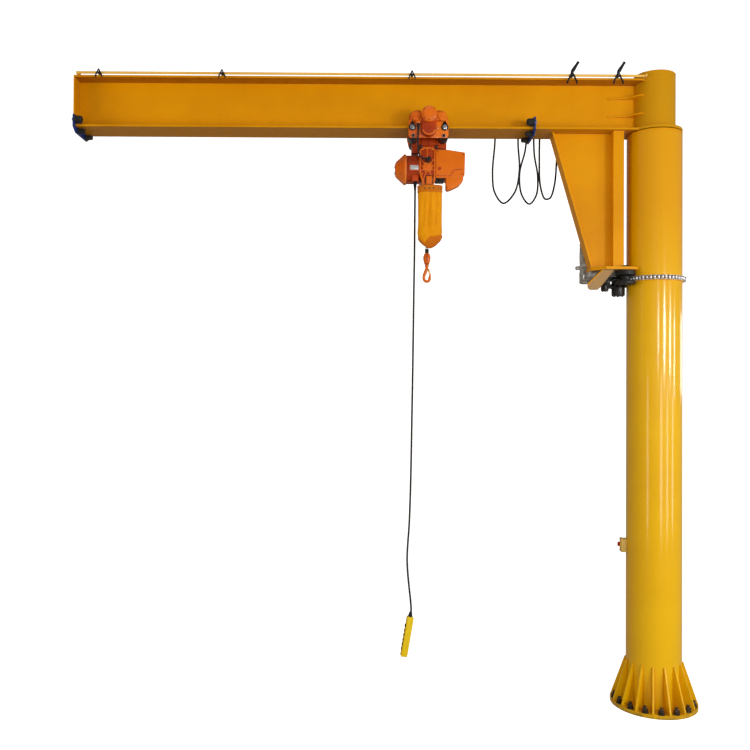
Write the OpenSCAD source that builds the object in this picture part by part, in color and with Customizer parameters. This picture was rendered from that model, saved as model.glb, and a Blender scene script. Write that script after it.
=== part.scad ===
// Column-mounted jib crane with an underslung electric chain hoist.
// Frame: origin on the column's axis at the floor, +Z up, the beam runs along -X.

/* [Column] */
// Outside diameter of the column tube
column_d = 377; // [350:1:400]
// Wall of the column tube
column_wall = 10; // [6:1:14]
// Height of the column's top plate above the floor
column_h = 4005; // [3900:1:4005]
// Outside diameter of the base flange
base_d = 590; // [580:1:640]
// Thickness of the base flange
base_t = 25; // [20:1:40]
// Pitch circle of the anchor holes
anchor_pcd = 536; // [528:1:540]
// Diameter of an anchor hole
anchor_hole_d = 26; // [22:1:30]
// Number of anchor holes and of gussets
anchor_n = 16; // [12:2:18]
// Height of the base gussets
gusset_h = 285; // [200:5:340]
// Thickness of a base gusset
gusset_t = 12; // [8:1:16]

/* [Slewing head] */
// Outside diameter of the head tube
head_d = 284; // [278:1:290]
// Wall of the head tube
head_wall = 8; // [6:1:10]
// Height of the head tube's closed top
head_top = 4422; // [4400:1:4450]
// Diameter of the pivot spindle
spindle_d = 100; // [80:1:120]
// Radial clearance of the spindle in its bearings
spindle_gap = 0.05; // [0.02:0.01:0.1]

/* [Beam] */
// Underside of the beam above the floor
beam_z = 4012; // [4012:1:4020]
// Depth of the beam
beam_h = 357; // [340:1:370]
// Width of the beam's flanges
flange_w = 238; // [230:1:240]
// Thickness of the flanges
flange_t = 14; // [12:1:16]
// Thickness of the web
web_t = 8; // [6:1:12]
// Reach of the beam's tip from the column's axis
reach = 4072; // [4072:1:4200]

/* [Bracket] */
// Top of the bracket's foot plate
foot_z = 3056; // [3050:1:3060]
// Thickness of the foot plate
foot_t = 20; // [16:1:20]
// Width of the slanted flange
slant_w = 100; // [80:1:110]
// Width of the post along the beam
post_w = 75; // [60:1:80]
// Depth of the post across the beam
post_d = 166; // [150:1:168]

/* [Slewing drive] */
// Centre height of the roller chain round the column
chain_z = 2978; // [2974:1:2980]
// Radius of the chain's pitch circle
chain_r = 202.1; // [202:0.1:202.2]
// Radius of a guide roller
roller_r = 69.7; // [69:0.1:69.7]
// Teeth on the drive sprocket
sprocket_teeth = 13; // [13:1:13]

/* [Trolley] */
// Middle of the trolley along the beam
trolley_x = -1612; // [-1620:1:-1600]
// Radius of a trolley wheel's tread
wheel_r = 50; // [48:1:52]
// Half of the wheel base
wheel_half = 78; // [70:1:84]

/* [Hoist] */
// Height of the hook's lowest point
hook_z = 2952; // [2900:1:3000]
// Width of the chain bag
bag_w = 172; // [150:1:176]

/* [Hidden] */
$fn = 96;

column_r = column_d / 2;
gusset_a = 3;
head_r = head_d / 2;
head_in = head_r - head_wall;
tip_t = 8;
beam_top = beam_z + beam_h;
web_z0 = beam_z + flange_t;
web_z1 = beam_top - flange_t;
yellow = [0.87, 0.62, 0.05];
orange = [0.88, 0.36, 0.06];
black = [0.10, 0.10, 0.11];
blue = [0.06, 0.17, 0.45];
steel = [0.72, 0.72, 0.74];
grey = [0.50, 0.52, 0.54];

// Slope of the bracket's slanted edge: run along X for each mm of height.
slant_run = 0.2904;
slant_x0 = -735.6;
slant_t = 12.5;
function slant_x(z) = slant_x0 + (beam_z - z) * slant_run;
post_x0 = -315;
post_x1 = post_x0 + post_w;

// Guide rollers on the column's skin.
roller_d = column_r + roller_r + 0.3;
roller_a = 24;
roller_x = -roller_d * cos(roller_a);
roller_y = roller_d * sin(roller_a);
sprocket_r = sprocket_teeth * 25.4 / (2 * PI);
sprocket_x = -(chain_r + sprocket_r);

wheel_z = web_z0 + wheel_r;
plate_y = 137;
plate_t = 12;
hook_x = -1610;
motor_x = -458;
motor_y = 118;

// Routes of the cables.
festoon_y = 182;
festoon_pts = [
    [-95, festoon_y, 4300], [-130, festoon_y, 4300], [-160, festoon_y, 4308], [-190, festoon_y, 4332],
    [-220, festoon_y, 4356], [-250, festoon_y, 4362],
    [-276, festoon_y, 4344], [-290, festoon_y, 4260], [-340, festoon_y, 3960],
    [-420, festoon_y, 3700], [-500, festoon_y, 3620], [-560, festoon_y, 3680],
    [-574, festoon_y, 3960], [-576, festoon_y, 4240], [-580, festoon_y, 4340],
    [-600, festoon_y, 4362], [-620, festoon_y, 4340], [-630, festoon_y, 4200],
    [-650, festoon_y, 3900], [-668, festoon_y, 3690], [-700, festoon_y, 3600],
    [-736, festoon_y, 3594], [-770, festoon_y, 3690], [-778, festoon_y, 3900],
    [-774, festoon_y, 4200], [-778, festoon_y, 4340], [-798, festoon_y, 4362],
    [-816, festoon_y, 4340], [-820, festoon_y, 4160], [-815, festoon_y, 3920],
    [-790, festoon_y, 3760], [-800, festoon_y, 3620], [-850, festoon_y, 3556],
    [-905, festoon_y, 3620], [-922, festoon_y, 3780], [-880, festoon_y, 3960],
    [-872, festoon_y, 4180], [-880, festoon_y, 4340], [-900, festoon_y, 4362],
    [-920, festoon_y, 4340], [-930, festoon_y, 4200],
    [-934, festoon_y, 4000], [-924, festoon_y, 3800],
    [-958, festoon_y, 3640], [-1040, festoon_y, 3560], [-1104, festoon_y, 3640],
    [-1120, festoon_y, 3780], [-1104, festoon_y, 4000], [-1100, festoon_y, 4200],
    [-1104, festoon_y, 4340], [-1124, festoon_y, 4362]];
lead_y = -164;
lead_pts = [
    [-1684, lead_y, 4030], [-1684, lead_y, 3990], [-1686, lead_y, 3930], [-1685, lead_y, 3880],
    [-1681, lead_y, 3840], [-1670, lead_y, 3806], [-1652, lead_y, 3791], [-1636, lead_y, 3788], [-1622, lead_y, 3788]];
pendant_pts = [
    [-1699, -66, 3640], [-1699, -66, 3600], [-1700, -66, 3400], [-1701, -66, 3150],
    [-1704, -66, 2900], [-1707, -66, 2600], [-1710, -66, 2300], [-1714, -66, 2000],
    [-1718, -66, 1700], [-1723, -66, 1450], [-1730, -66, 1250], [-1739, -66, 1120],
    [-1743, -66, 1020], [-1738, -66, 920], [-1728, -66, 820], [-1717, -66, 720],
    [-1713.7, -66, 659.6], [-1719, -66, 628]];

function vunit(v) = v / norm(v);
function tangent(p, i) = vunit(p[min(i + 1, len(p) - 1)] - p[max(i - 1, 0)]);
// One closed tube swept along points that lie in a plane of constant Y.
module swept(p, d, n) {
    m = len(p);
    pts = [for (i = [0 : m - 1]) let (t = tangent(p, i), b = vunit(cross([0, 1, 0], t)), c = cross(t, b))
        for (k = [0 : n - 1]) p[i] + (d / 2) * (b * cos(k * 360 / n) + c * sin(k * 360 / n))];
    sides = [for (i = [0 : m - 2]) for (k = [0 : n - 1])
        [i * n + k, i * n + (k + 1) % n, (i + 1) * n + (k + 1) % n, (i + 1) * n + k]];
    polyhedron(pts, concat([[for (k = [n - 1 : -1 : 0]) k]], sides, [[for (k = [0 : n - 1]) (m - 1) * n + k]]), convexity = 10);
}
// A polygon in the X-Z plane, extruded to both sides of Y.
module xz_plate(points, y0, y1) {
    translate([0, y1, 0]) rotate([90, 0, 0]) linear_extrude(y1 - y0) polygon(points);
}
// A polygon in the Y-Z plane, extruded along X.
module yz_plate(points, x0, x1) { translate([x0, 0, 0]) rotate([90, 0, 90]) linear_extrude(x1 - x0) polygon(points); }
module y_cyl(r, y0, y1) { translate([0, y0, 0]) rotate([-90, 0, 0]) cylinder(r = r, h = y1 - y0); }
module x_cyl(r, x0, x1) { translate([x0, 0, 0]) rotate([0, 90, 0]) cylinder(r = r, h = x1 - x0); }
module both_sides() { children(); mirror([0, 1, 0]) children(); }

// ---------------------------------------------------------------- column
module base_plate() {
    color(yellow) difference() {
        cylinder(r = base_d / 2, h = base_t);
        for (i = [0 : anchor_n - 1]) rotate(gusset_a + (i + 0.5) * 360 / anchor_n)
            translate([anchor_pcd / 2, 0, -1]) cylinder(r = anchor_hole_d / 2, h = base_t + 2, $fn = 48);
    }
}
module base_gussets() {
    color(yellow) difference() {
        for (i = [0 : anchor_n - 1]) rotate(gusset_a + i * 360 / anchor_n)
            xz_plate([[column_r - 4, base_t], [base_d / 2 - 6, base_t], [base_d / 2 - 6, base_t + 16],
                [column_r + 8, base_t + gusset_h], [column_r - 4, base_t + gusset_h]], -gusset_t / 2, gusset_t / 2);
        translate([0, 0, -1]) cylinder(r = column_r, h = gusset_h + base_t + 2);
    }
}
module column_tube() {
    color(yellow) difference() {
        translate([0, 0, base_t]) cylinder(r = column_r, h = column_h - 12 - base_t);
        translate([0, 0, base_t - 1]) cylinder(r = column_r - column_wall, h = column_h);
    }
}
module pivot_spindle() {
    color(yellow) union() {
        translate([0, 0, column_h - 12]) cylinder(r = column_r, h = 12);
        translate([0, 0, column_h - 1]) cylinder(r = spindle_d / 2, h = head_top - 50 - column_h + 1);
    }
}
module slew_chain() {
    color(steel) translate([0, 0, chain_z - 13]) difference() {
        cylinder(r = chain_r + 13, h = 26);
        translate([0, 0, -1]) cylinder(r = column_r, h = 28);
    }
}
module isolator_box() {
    color([0.85, 0.74, 0.36]) difference() {
        rotate(-8) translate([-column_r - 40, -36, 1056]) cube([60, 72, 96]);
        translate([0, 0, 1000]) cylinder(r = column_r, h = 200);
        rotate(-8) translate([0, 0, 1110]) x_cyl(6, -column_r - 41, -column_r - 20);
    }
}
module isolator_knob() {
    color([0.75, 0.10, 0.08]) rotate(-8) translate([-column_r - 40, 0, 1110])
        union() {
            x_cyl(16, -8, -0.5);
            x_cyl(5.95, -1, 19);
            translate([-20, -5, -15]) cube([13, 10, 30]);
        }
}

// ---------------------------------------------------------------- jib
module head_tube() {
    color(yellow) difference() {
        union() {
            translate([0, 0, beam_z]) cylinder(r = head_r, h = head_top - beam_z);
            translate([0, 0, beam_z]) cylinder(r = column_r, h = 19);
        }
        translate([0, 0, beam_z - 1]) cylinder(r = head_in, h = head_top - 12 - beam_z + 1);
        difference() {
            union() {
                translate([0, 0, beam_z - 1]) linear_extrude(flange_t + 1) flange_outline();
                translate([-220, -web_t / 2, beam_z - 1]) cube([220, web_t, 30]);
            }
            translate([0, 0, beam_z - 2]) cylinder(r = head_r, h = 100);
        }
    }
}
module pivot_bearings() {
    color(grey) for (z = [beam_z + 20, head_top - 100]) translate([0, 0, z]) difference() {
        cylinder(r = head_in, h = 36);
        translate([0, 0, -1]) cylinder(r = spindle_d / 2 + spindle_gap, h = 38);
    }
}
module beam_web() {
    color(yellow) difference() {
        translate([-reach + tip_t, -web_t / 2, web_z0]) cube([reach - tip_t - 100, web_t, web_z1 - web_z0]);
        translate([0, 0, beam_z - 1]) cylinder(r = head_r, h = beam_h + 2);
    }
}
module flange_outline() {
    polygon([[-reach + tip_t, -flange_w / 2], [-128, -flange_w / 2], [-98, -102], [-60, -60],
        [-60, 60], [-98, 102], [-128, flange_w / 2], [-reach + tip_t, flange_w / 2]]);
}
module flange(z) {
    color(yellow) difference() {
        translate([0, 0, z]) linear_extrude(flange_t) flange_outline();
        translate([0, 0, z - 1]) cylinder(r = head_r, h = flange_t + 2);
    }
}
module beam_top_flange() { flange(web_z1); }
module beam_bottom_flange() { flange(beam_z); }
module beam_end_plate() {
    color(yellow) translate([-reach, -flange_w / 2, beam_z]) cube([tip_t, flange_w, beam_h]);
}
module root_stiffeners() {
    color(yellow) difference() {
        both_sides() for (z = [4130, 4258]) translate([0, 0, z]) linear_extrude(10)
            polygon([[-335, web_t / 2], [-200, 34], [-140, 84], [-112, 96], [-60, 60], [-60, web_t / 2]]);
        translate([0, 0, beam_z]) cylinder(r = head_r, h = beam_h);
    }
}
module bracket_web() {
    color(yellow) xz_plate([[slant_x(beam_z) + slant_t, beam_z], [post_x0, beam_z], [post_x0, foot_z],
        [slant_x(foot_z) + slant_t, foot_z]], -6, 6);
}
module bracket_slant_flange() {
    color(yellow) xz_plate([[slant_x(beam_z), beam_z], [slant_x(beam_z) + slant_t, beam_z],
        [slant_x(foot_z) + slant_t, foot_z], [slant_x(foot_z), foot_z]], -slant_w / 2, slant_w / 2);
}
module bracket_post() {
    color(yellow) difference() {
        translate([post_x0, -post_d / 2, foot_z]) cube([post_w, post_d, beam_z - foot_z]);
        translate([post_x0 + 8, -post_d / 2 + 8, foot_z - 1]) cube([post_w - 16, post_d - 16, beam_z - foot_z + 2]);
    }
}
module bracket_foot_plate() {
    color(yellow) intersection() {
        union() {
            yz_plate([[-119.2, foot_z - foot_t + 2], [-40, 2905], [-32, 2905], [-111.2, foot_z - foot_t + 2]], -490, -320);
        }
        translate([0, 0, 2900]) linear_extrude(200) polygon([[-386, -121], [-322, -121], [-322, -112],
            [-394, -50], [-430, -30], [-452, -30], [-485, -48], [-488, -56]]);
    }
    color(yellow) difference() {
        translate([0, 0, foot_z - foot_t]) linear_extrude(foot_t) polygon([[-466, -56], [-382, -150], [-182, -150],
            [-140, -118], [-140, 118], [-182, 150], [-260, 186], [-396, 186], [-396, 60], [-466, 56]]);
        translate([0, 0, foot_z - foot_t - 1]) cylinder(r = column_r + 14, h = foot_t + 2);
        for (s = [-1, 1]) translate([roller_x, s * roller_y, foot_z - foot_t - 1]) cylinder(r = 16, h = foot_t + 2, $fn = 48);
        translate([sprocket_x, 0, foot_z - foot_t - 1]) cylinder(r = 20, h = foot_t + 2, $fn = 48);
    }
}
stop_x = [-4064, -883];
module stop_plates() {
    color(blue) for (x = stop_x) difference() {
        translate([x, -156, 3944]) cube([12, 312, 142]);
        translate([x - 1, -flange_w / 2, beam_z]) cube([14, flange_w, flange_t]);
        translate([x - 1, -web_t / 2, beam_z]) cube([14, web_t, 80]);
    }
}
module stop_buffers() {
    color(black) both_sides() for (z = [3979, 4055]) {
        translate([0, -133, z]) x_cyl(28, -4052, -4002);
        translate([0, -133, z]) x_cyl(28, -933, -883);
    }
}
wire_y = -131;
wire_z = 4381;
module guide_wire() {
    color(yellow) union() {
        translate([0, wire_y, wire_z]) x_cyl(5, -4058, -105);
        difference() {
            translate([-112, wire_y - 10, wire_z - 10]) cube([14, 60, 20]);
            cylinder(r = head_r, h = 5000);
        }
    }
}
// Each clip's place along the beam, and its size.
clip_at = [[-4050, 1], [-3890, 1], [-3040, 1], [-1727, 1], [-620, 1.45], [-300, 1.45]];
module leg(x, a, l, r) { translate([x, -146, wire_z + 21]) rotate([0, 180 + a, 0]) cylinder(r = r, h = l, $fn = 24); }
module wire_clips() {
    color(black) for (c = clip_at) difference() {
        union() {
            translate([c[0] - 8, -150, beam_top]) cube([16, 60, 24]);
            leg(c[0], 24, 60 * c[1], 4);
            leg(c[0], -24, 60 * c[1], 4);
            if (c[1] > 1) leg(c[0], 212, 80, 7);
        }
        translate([0, wire_y, wire_z]) x_cyl(5, c[0] - 20, c[0] + 20);
    }
}
hanger_x = [-250, -600, -798, -900, -1124];
module cable_hangers() {
    color(black) for (x = hanger_x) union() {
        translate([x - 14, 90, beam_top]) cube([28, 108, 12]);
        translate([x - 14, 190, beam_top - 30]) cube([28, 8, 42]);
    }
}
module festoon_cable() { color(black) swept(festoon_pts, 14, 8); }
module head_junction_box() {
    color(grey) difference() {
        translate([-95, 60, 4240]) cube([90, 150, 120]);
        translate([0, 0, 4200]) cylinder(r = head_r, h = 200);
    }
}
module slew_motor() {
    color(grey) translate([motor_x, motor_y, 0]) union() {
        translate([0, 0, 3095]) cylinder(r = 40, h = 165);
        translate([0, 0, 3259]) cylinder(r = 34, h = 14);
        translate([-24, 30, 3140]) cube([48, 44, 64]);
    }
}
module slew_gearbox() {
    color(grey) difference() {
        union() {
            translate([motor_x, motor_y, 2965]) cylinder(r = 42, h = 130);
            translate([motor_x - 68, motor_y - 20, 3066]) cube([40, 40, 28]);
            translate([motor_x - 36, 64, 2984]) cube([72, 54, 100]);
            translate([-470, -30, 2999]) cube([140, 150, foot_z - foot_t - 2999]);
            translate([-332, -28, 2999]) cube([112, 56, foot_z - foot_t - 2999]);
            translate([-350, 0, 2900]) cylinder(r = 27, h = 62);
            translate([-350, -24, 2932]) cube([34, 48, 68]);
        }
        translate([sprocket_x, 0, 2990]) cylinder(r = 20, h = 50, $fn = 48);
        translate([-500, -60, 3035]) cube([110, 110, 100]);
    }
}

// ---------------------------------------------------------------- slewing rollers and drive
module guide_roller(s) {
    color(black) translate([roller_x, s * roller_y, 0]) union() {
        translate([0, 0, 2998]) cylinder(r = roller_r, h = 32);
        translate([0, 0, 2957]) cylinder(r = 34, h = 42);
        translate([0, 0, 2936]) cylinder(r = roller_r, h = 22);
        translate([0, 0, 3029]) cylinder(r = 15.95, h = foot_z - 3029 + 14);
    }
}
module roller_near() { guide_roller(-1); }
module roller_far() { guide_roller(1); }
module drive_sprocket() {
    color(black) translate([sprocket_x, 0, 0]) difference() {
        union() {
            translate([0, 0, chain_z - 7]) cylinder(r = sprocket_r - 16, h = 14);
            translate([0, 0, 2868]) cylinder(r = 19.95, h = foot_z - 1 - 2868);
            translate([0, 0, 2866]) cylinder(r = 46, h = 62);
        }
        translate([0, 0, 2860]) cylinder(r = 9, h = 20);
    }
}

// ---------------------------------------------------------------- trolley
lobe_x = 90;
bar_x = 106;
bar_z = 3950;
module trolley_side_plates() {
    color(orange) for (far = [0, 1]) mirror([0, far, 0]) difference() {
        union() {
            xz_plate([[trolley_x - 128 + 16 * far, 3937], [trolley_x + 128 - 16 * far, 3937], [trolley_x + 138 - 14 * far, 3950],
                [trolley_x + 138, 3960 + 52 * far], [trolley_x + 138, 4050],
                [trolley_x + 128, 4080], [trolley_x + 60, 4098], [trolley_x - 60, 4098], [trolley_x - 128, 4080],
                [trolley_x - 138, 4050], [trolley_x - 138, 3960 + 52 * far], [trolley_x - 138 + 14 * far, 3950]],
                -plate_y - plate_t, -plate_y);
            for (s = [-1, 1]) translate([trolley_x + s * lobe_x, 0, 4078]) y_cyl(40, -plate_y - plate_t, -plate_y);
        }
        for (s = [-1, 1]) translate([trolley_x + s * wheel_half, 0, wheel_z]) y_cyl(14, -160, -130);
        for (s = [-1, 1]) translate([trolley_x + s * bar_x, 0, bar_z]) y_cyl(10, -160, -130);
    }
}
module trolley_spacer_bars() {
    color(black) for (s = [-1, 1]) translate([trolley_x + s * bar_x, 0, bar_z]) union() {
        y_cyl(10, -158, 158);
        y_cyl(33, -137, -60);
        y_cyl(16, 60, 137);
    }
}
module trolley_motor() {
    color(orange) union() {
        translate([trolley_x, 0, 4080]) y_cyl(54, -226, -149);
        translate([trolley_x, 0, 4080]) y_cyl(44, -240, -225);
        translate([trolley_x, 0, 3990]) y_cyl(52, -202, -149);
        translate([trolley_x - 54, -186, 3990]) cube([108, 37, 90]);
        for (s = [-1, 1]) translate([trolley_x + s * lobe_x, 0, 4078]) y_cyl(34, -190, -149);
        translate([trolley_x - lobe_x, -180, 4052]) cube([2 * lobe_x, 31, 52]);
        translate([-1700, -176, 4030]) cube([32, 27, 30]);
    }
}
module trolley_lead() { color(black) swept(lead_pts, 12, 8); }
module trolley_suspension() {
    color(orange) difference() {
        xz_plate([[-1722, 3857], [-1674, 3857], [-1674, 3889], [-1480, 3889], [-1480, 3972], [-1722, 3972]], -60, 60);
        for (s = [-1, 1]) translate([trolley_x + s * bar_x, 0, bar_z]) y_cyl(10, -70, 70);
    }
}
module wheel(s, t) {
    color(steel) translate([trolley_x + s * wheel_half, 0, wheel_z]) mirror([0, t < 0 ? 0 : 1, 0]) union() {
        y_cyl(wheel_r - 0.3, -118, -84);
        y_cyl(wheel_r + 6, -131, -124.5);
        y_cyl(30, -125, -117);
        y_cyl(13.95, -148.8, -130);
    }
}
module wheel_tip_near() { wheel(-1, -1); }
module wheel_tip_far() { wheel(-1, 1); }
module wheel_root_near() { wheel(1, -1); }
module wheel_root_far() { wheel(1, 1); }

// ---------------------------------------------------------------- hoist
module hoist_gearbox() {
    color(orange) difference() {
        union() {
            xz_plate([[-1669, 3690], [-1640, 3611], [-1576, 3611], [-1560, 3650], [-1560, 3889], [-1669, 3889]], -108, 108);
            translate([-1622, -177, 3775]) cube([24, 70, 26]);
        }
        translate([hook_x, 0, 3600]) cylinder(r = 14, h = 40, $fn = 48);
    }
}
module hoist_motor() {
    color(orange) union() {
        translate([0, 0, 3752]) x_cyl(100, -1771, -1669);
        translate([-1699, -66, 3640]) cylinder(r = 13, h = 50);
        translate([0, 0, 3752]) rotate([0, -90, 0]) translate([0, 0, 1771]) rotate(22.5) cylinder(r1 = 110, r2 = 54, h = 65, $fn = 8);
    }
}
module hoist_control_box() {
    color(orange) union() {
        xz_plate([[-1560, 3672], [-1374, 3672], [-1356, 3690], [-1352, 3846], [-1358, 3852], [-1478, 3870], [-1560, 3870]],
            -100, 60);
        xz_plate([[-1487, 3674], [-1487, 3592], [-1476, 3584], [-1446, 3594], [-1396, 3618], [-1364, 3656], [-1362, 3674]],
            -100, -40);
    }
}
module chain_bag() {
    color([0.92, 0.62, 0.08]) xz_plate([[-1597 - bag_w / 2, 3611], [-1597 + bag_w / 2, 3611], [-1597 + bag_w / 2, 3272],
        [-1563, 3188], [-1585, 3179], [-1607, 3179], [-1629, 3188], [-1597 - bag_w / 2, 3272]], -150, -45);
}
module load_chain() {
    color(steel) translate([hook_x, 0, 3164]) cylinder(r = 12, h = 3640 - 3164, $fn = 24);
}
module pendant_cable() { color(black) swept(pendant_pts, 14, 8); }
module pendant() {
    color([0.95, 0.82, 0.10]) translate([-1719, -66, 628]) rotate([0, 9.5, 0]) union() {
        translate([0, 0, -34]) cylinder(r1 = 17, r2 = 12, h = 34, $fn = 48);
        translate([-30, -27, -290]) cube([60, 54, 258]);
    }
}
module hook_block() {
    color(orange) translate([hook_x, 0, 0]) difference() {
        hull() {
            translate([0, 0, 3128]) sphere(r = 26, $fn = 32);
            translate([0, 0, 3160]) cylinder(r = 14, h = 4, $fn = 32);
            translate([0, 0, 3086]) cylinder(r = 16, h = 4, $fn = 32);
        }
        translate([0, 0, 3080]) cylinder(r = 8.05, h = 32, $fn = 48);
    }
}
// The bowl's centre, mean radius and bar radius.
bowl_r = 20.5;
bar_r = 10;
bowl_z = hook_z + bowl_r + bar_r;
module hook() {
    color(orange) translate([hook_x, 0, 0]) union() {
        translate([0, 0, 3046]) cylinder(r = 8, h = 65, $fn = 48);
        translate([0, 0, 3064]) cylinder(r = 14, h = 16, $fn = 48);
        translate([0, 0, bowl_z]) rotate([90, 0, 0]) rotate(170) rotate_extrude(angle = 205) translate([bowl_r, 0]) circle(r = bar_r, $fn = 32);
        hull() {
            translate([-bowl_r, 0, bowl_z + 3]) sphere(r = bar_r, $fn = 32);
            translate([-18.5, 0, bowl_z + 24]) sphere(r = bar_r + 1, $fn = 32);
        }
        hull() {
            translate([-18.5, 0, bowl_z + 24]) sphere(r = bar_r + 1, $fn = 32);
            translate([0, 0, 3052]) sphere(r = 12, $fn = 32);
        }
        hull() {
            translate([19.9, 0, bowl_z + 6]) sphere(r = bar_r, $fn = 32);
            translate([25, 0, bowl_z + 33]) sphere(r = 4.6, $fn = 32);
        }
    }
}
module hook_latch() {
    color(steel) translate([hook_x, 0, 0]) xz_plate([[10.8, 3047], [15, 3044], [18.4, bowl_z + 37.5], [14.8, bowl_z + 34]], -6, 6);
}

base_plate();
base_gussets();
column_tube();
pivot_spindle();
slew_chain();
isolator_box();
isolator_knob();
head_tube();
pivot_bearings();
beam_web();
beam_top_flange();
beam_bottom_flange();
beam_end_plate();
root_stiffeners();
bracket_web();
bracket_slant_flange();
bracket_post();
bracket_foot_plate();
stop_plates();
stop_buffers();
head_junction_box();
guide_wire();
wire_clips();
cable_hangers();
festoon_cable();
slew_motor();
slew_gearbox();
roller_near();
roller_far();
drive_sprocket();
trolley_side_plates();
trolley_spacer_bars();
trolley_motor();
trolley_lead();
trolley_suspension();
wheel_tip_near();
wheel_tip_far();
wheel_root_near();
wheel_root_far();
hoist_gearbox();
hoist_motor();
hoist_control_box();
chain_bag();
load_chain();
pendant_cable();
pendant();
hook_block();
hook();
hook_latch();
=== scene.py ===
import math
import bpy
import bmesh
import numpy as np
from mathutils import Matrix, Vector, noise


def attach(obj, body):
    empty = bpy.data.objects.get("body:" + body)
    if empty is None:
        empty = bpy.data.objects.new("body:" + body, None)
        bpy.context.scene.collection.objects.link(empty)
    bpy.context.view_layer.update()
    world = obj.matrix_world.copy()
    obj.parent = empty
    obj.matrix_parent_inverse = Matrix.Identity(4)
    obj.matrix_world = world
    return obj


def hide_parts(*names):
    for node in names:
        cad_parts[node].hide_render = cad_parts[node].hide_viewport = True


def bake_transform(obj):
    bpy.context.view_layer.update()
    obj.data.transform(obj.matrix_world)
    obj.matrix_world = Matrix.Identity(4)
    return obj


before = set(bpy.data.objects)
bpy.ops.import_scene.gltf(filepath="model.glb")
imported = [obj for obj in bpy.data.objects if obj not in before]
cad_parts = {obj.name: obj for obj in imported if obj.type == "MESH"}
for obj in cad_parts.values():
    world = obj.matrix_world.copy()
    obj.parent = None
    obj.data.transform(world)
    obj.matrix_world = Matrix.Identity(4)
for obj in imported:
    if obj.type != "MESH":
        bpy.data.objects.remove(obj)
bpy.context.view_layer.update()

MM = 0.001
sc = bpy.context.scene
sc.view_settings.view_transform = "Standard"
sc.view_settings.look = "None"


V = Vector


# ------------------------------------------------------------------ camera
def make_camera():
    yaw, pitch, roll = (math.radians(a) for a in (0.221, 0.552, 0.279))
    fw = Vector((math.sin(yaw) * math.cos(pitch), math.cos(yaw) * math.cos(pitch), math.sin(pitch)))
    rt = Vector((math.cos(yaw), -math.sin(yaw), 0))
    up = rt.cross(fw)
    rt2 = math.cos(roll) * rt + math.sin(roll) * up
    up2 = -math.sin(roll) * rt + math.cos(roll) * up
    data = bpy.data.cameras.new("camera")
    data.sensor_width = 36.0
    data.lens = 806.92 * 36.0 / 750.0
    data.clip_end = 100.0
    cam = bpy.data.objects.new("camera", data)
    m = Matrix((rt2, up2, -fw)).transposed().to_4x4()
    m.translation = Vector((-1.99461, -5.69829, 2.24442))
    cam.matrix_world = m
    sc.collection.objects.link(cam)
    sc.camera = cam


make_camera()


# ------------------------------------------------------------------ shapes
def axes_of(axis):
    a = Vector(axis).normalized()
    ref = Vector((0, 0, 1)) if abs(a.z) < 0.9 else Vector((1, 0, 0))
    u = ref.cross(a).normalized()
    return u, a.cross(u), a


def smooth_path(points, step=18.0):
    """Catmull-Rom through the points, resampled so that no two are further apart than step."""
    p = [Vector(q) for q in points]
    p = [p[0] * 2 - p[1]] + p + [p[-1] * 2 - p[-2]]
    out = []
    for i in range(1, len(p) - 2):
        a, b, c, d = p[i - 1], p[i], p[i + 1], p[i + 2]
        n = max(2, int((c - b).length / step) + 1)
        t0, t1 = 0.0, (b - a).length ** 0.5
        t2 = t1 + (c - b).length ** 0.5
        t3 = t2 + (d - c).length ** 0.5
        for k in range(n):
            t = t1 + (t2 - t1) * k / n
            a1 = a * ((t1 - t) / (t1 - t0)) + b * ((t - t0) / (t1 - t0))
            a2 = b * ((t2 - t) / (t2 - t1)) + c * ((t - t1) / (t2 - t1))
            a3 = c * ((t3 - t) / (t3 - t2)) + d * ((t - t2) / (t3 - t2))
            b1 = a1 * ((t2 - t) / (t2 - t0)) + a2 * ((t - t0) / (t2 - t0))
            b2 = a2 * ((t3 - t) / (t3 - t1)) + a3 * ((t - t1) / (t3 - t1))
            out.append(b1 * ((t2 - t) / (t2 - t1)) + b2 * ((t - t1) / (t2 - t1)))
    out.append(p[-2])
    return out


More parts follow.
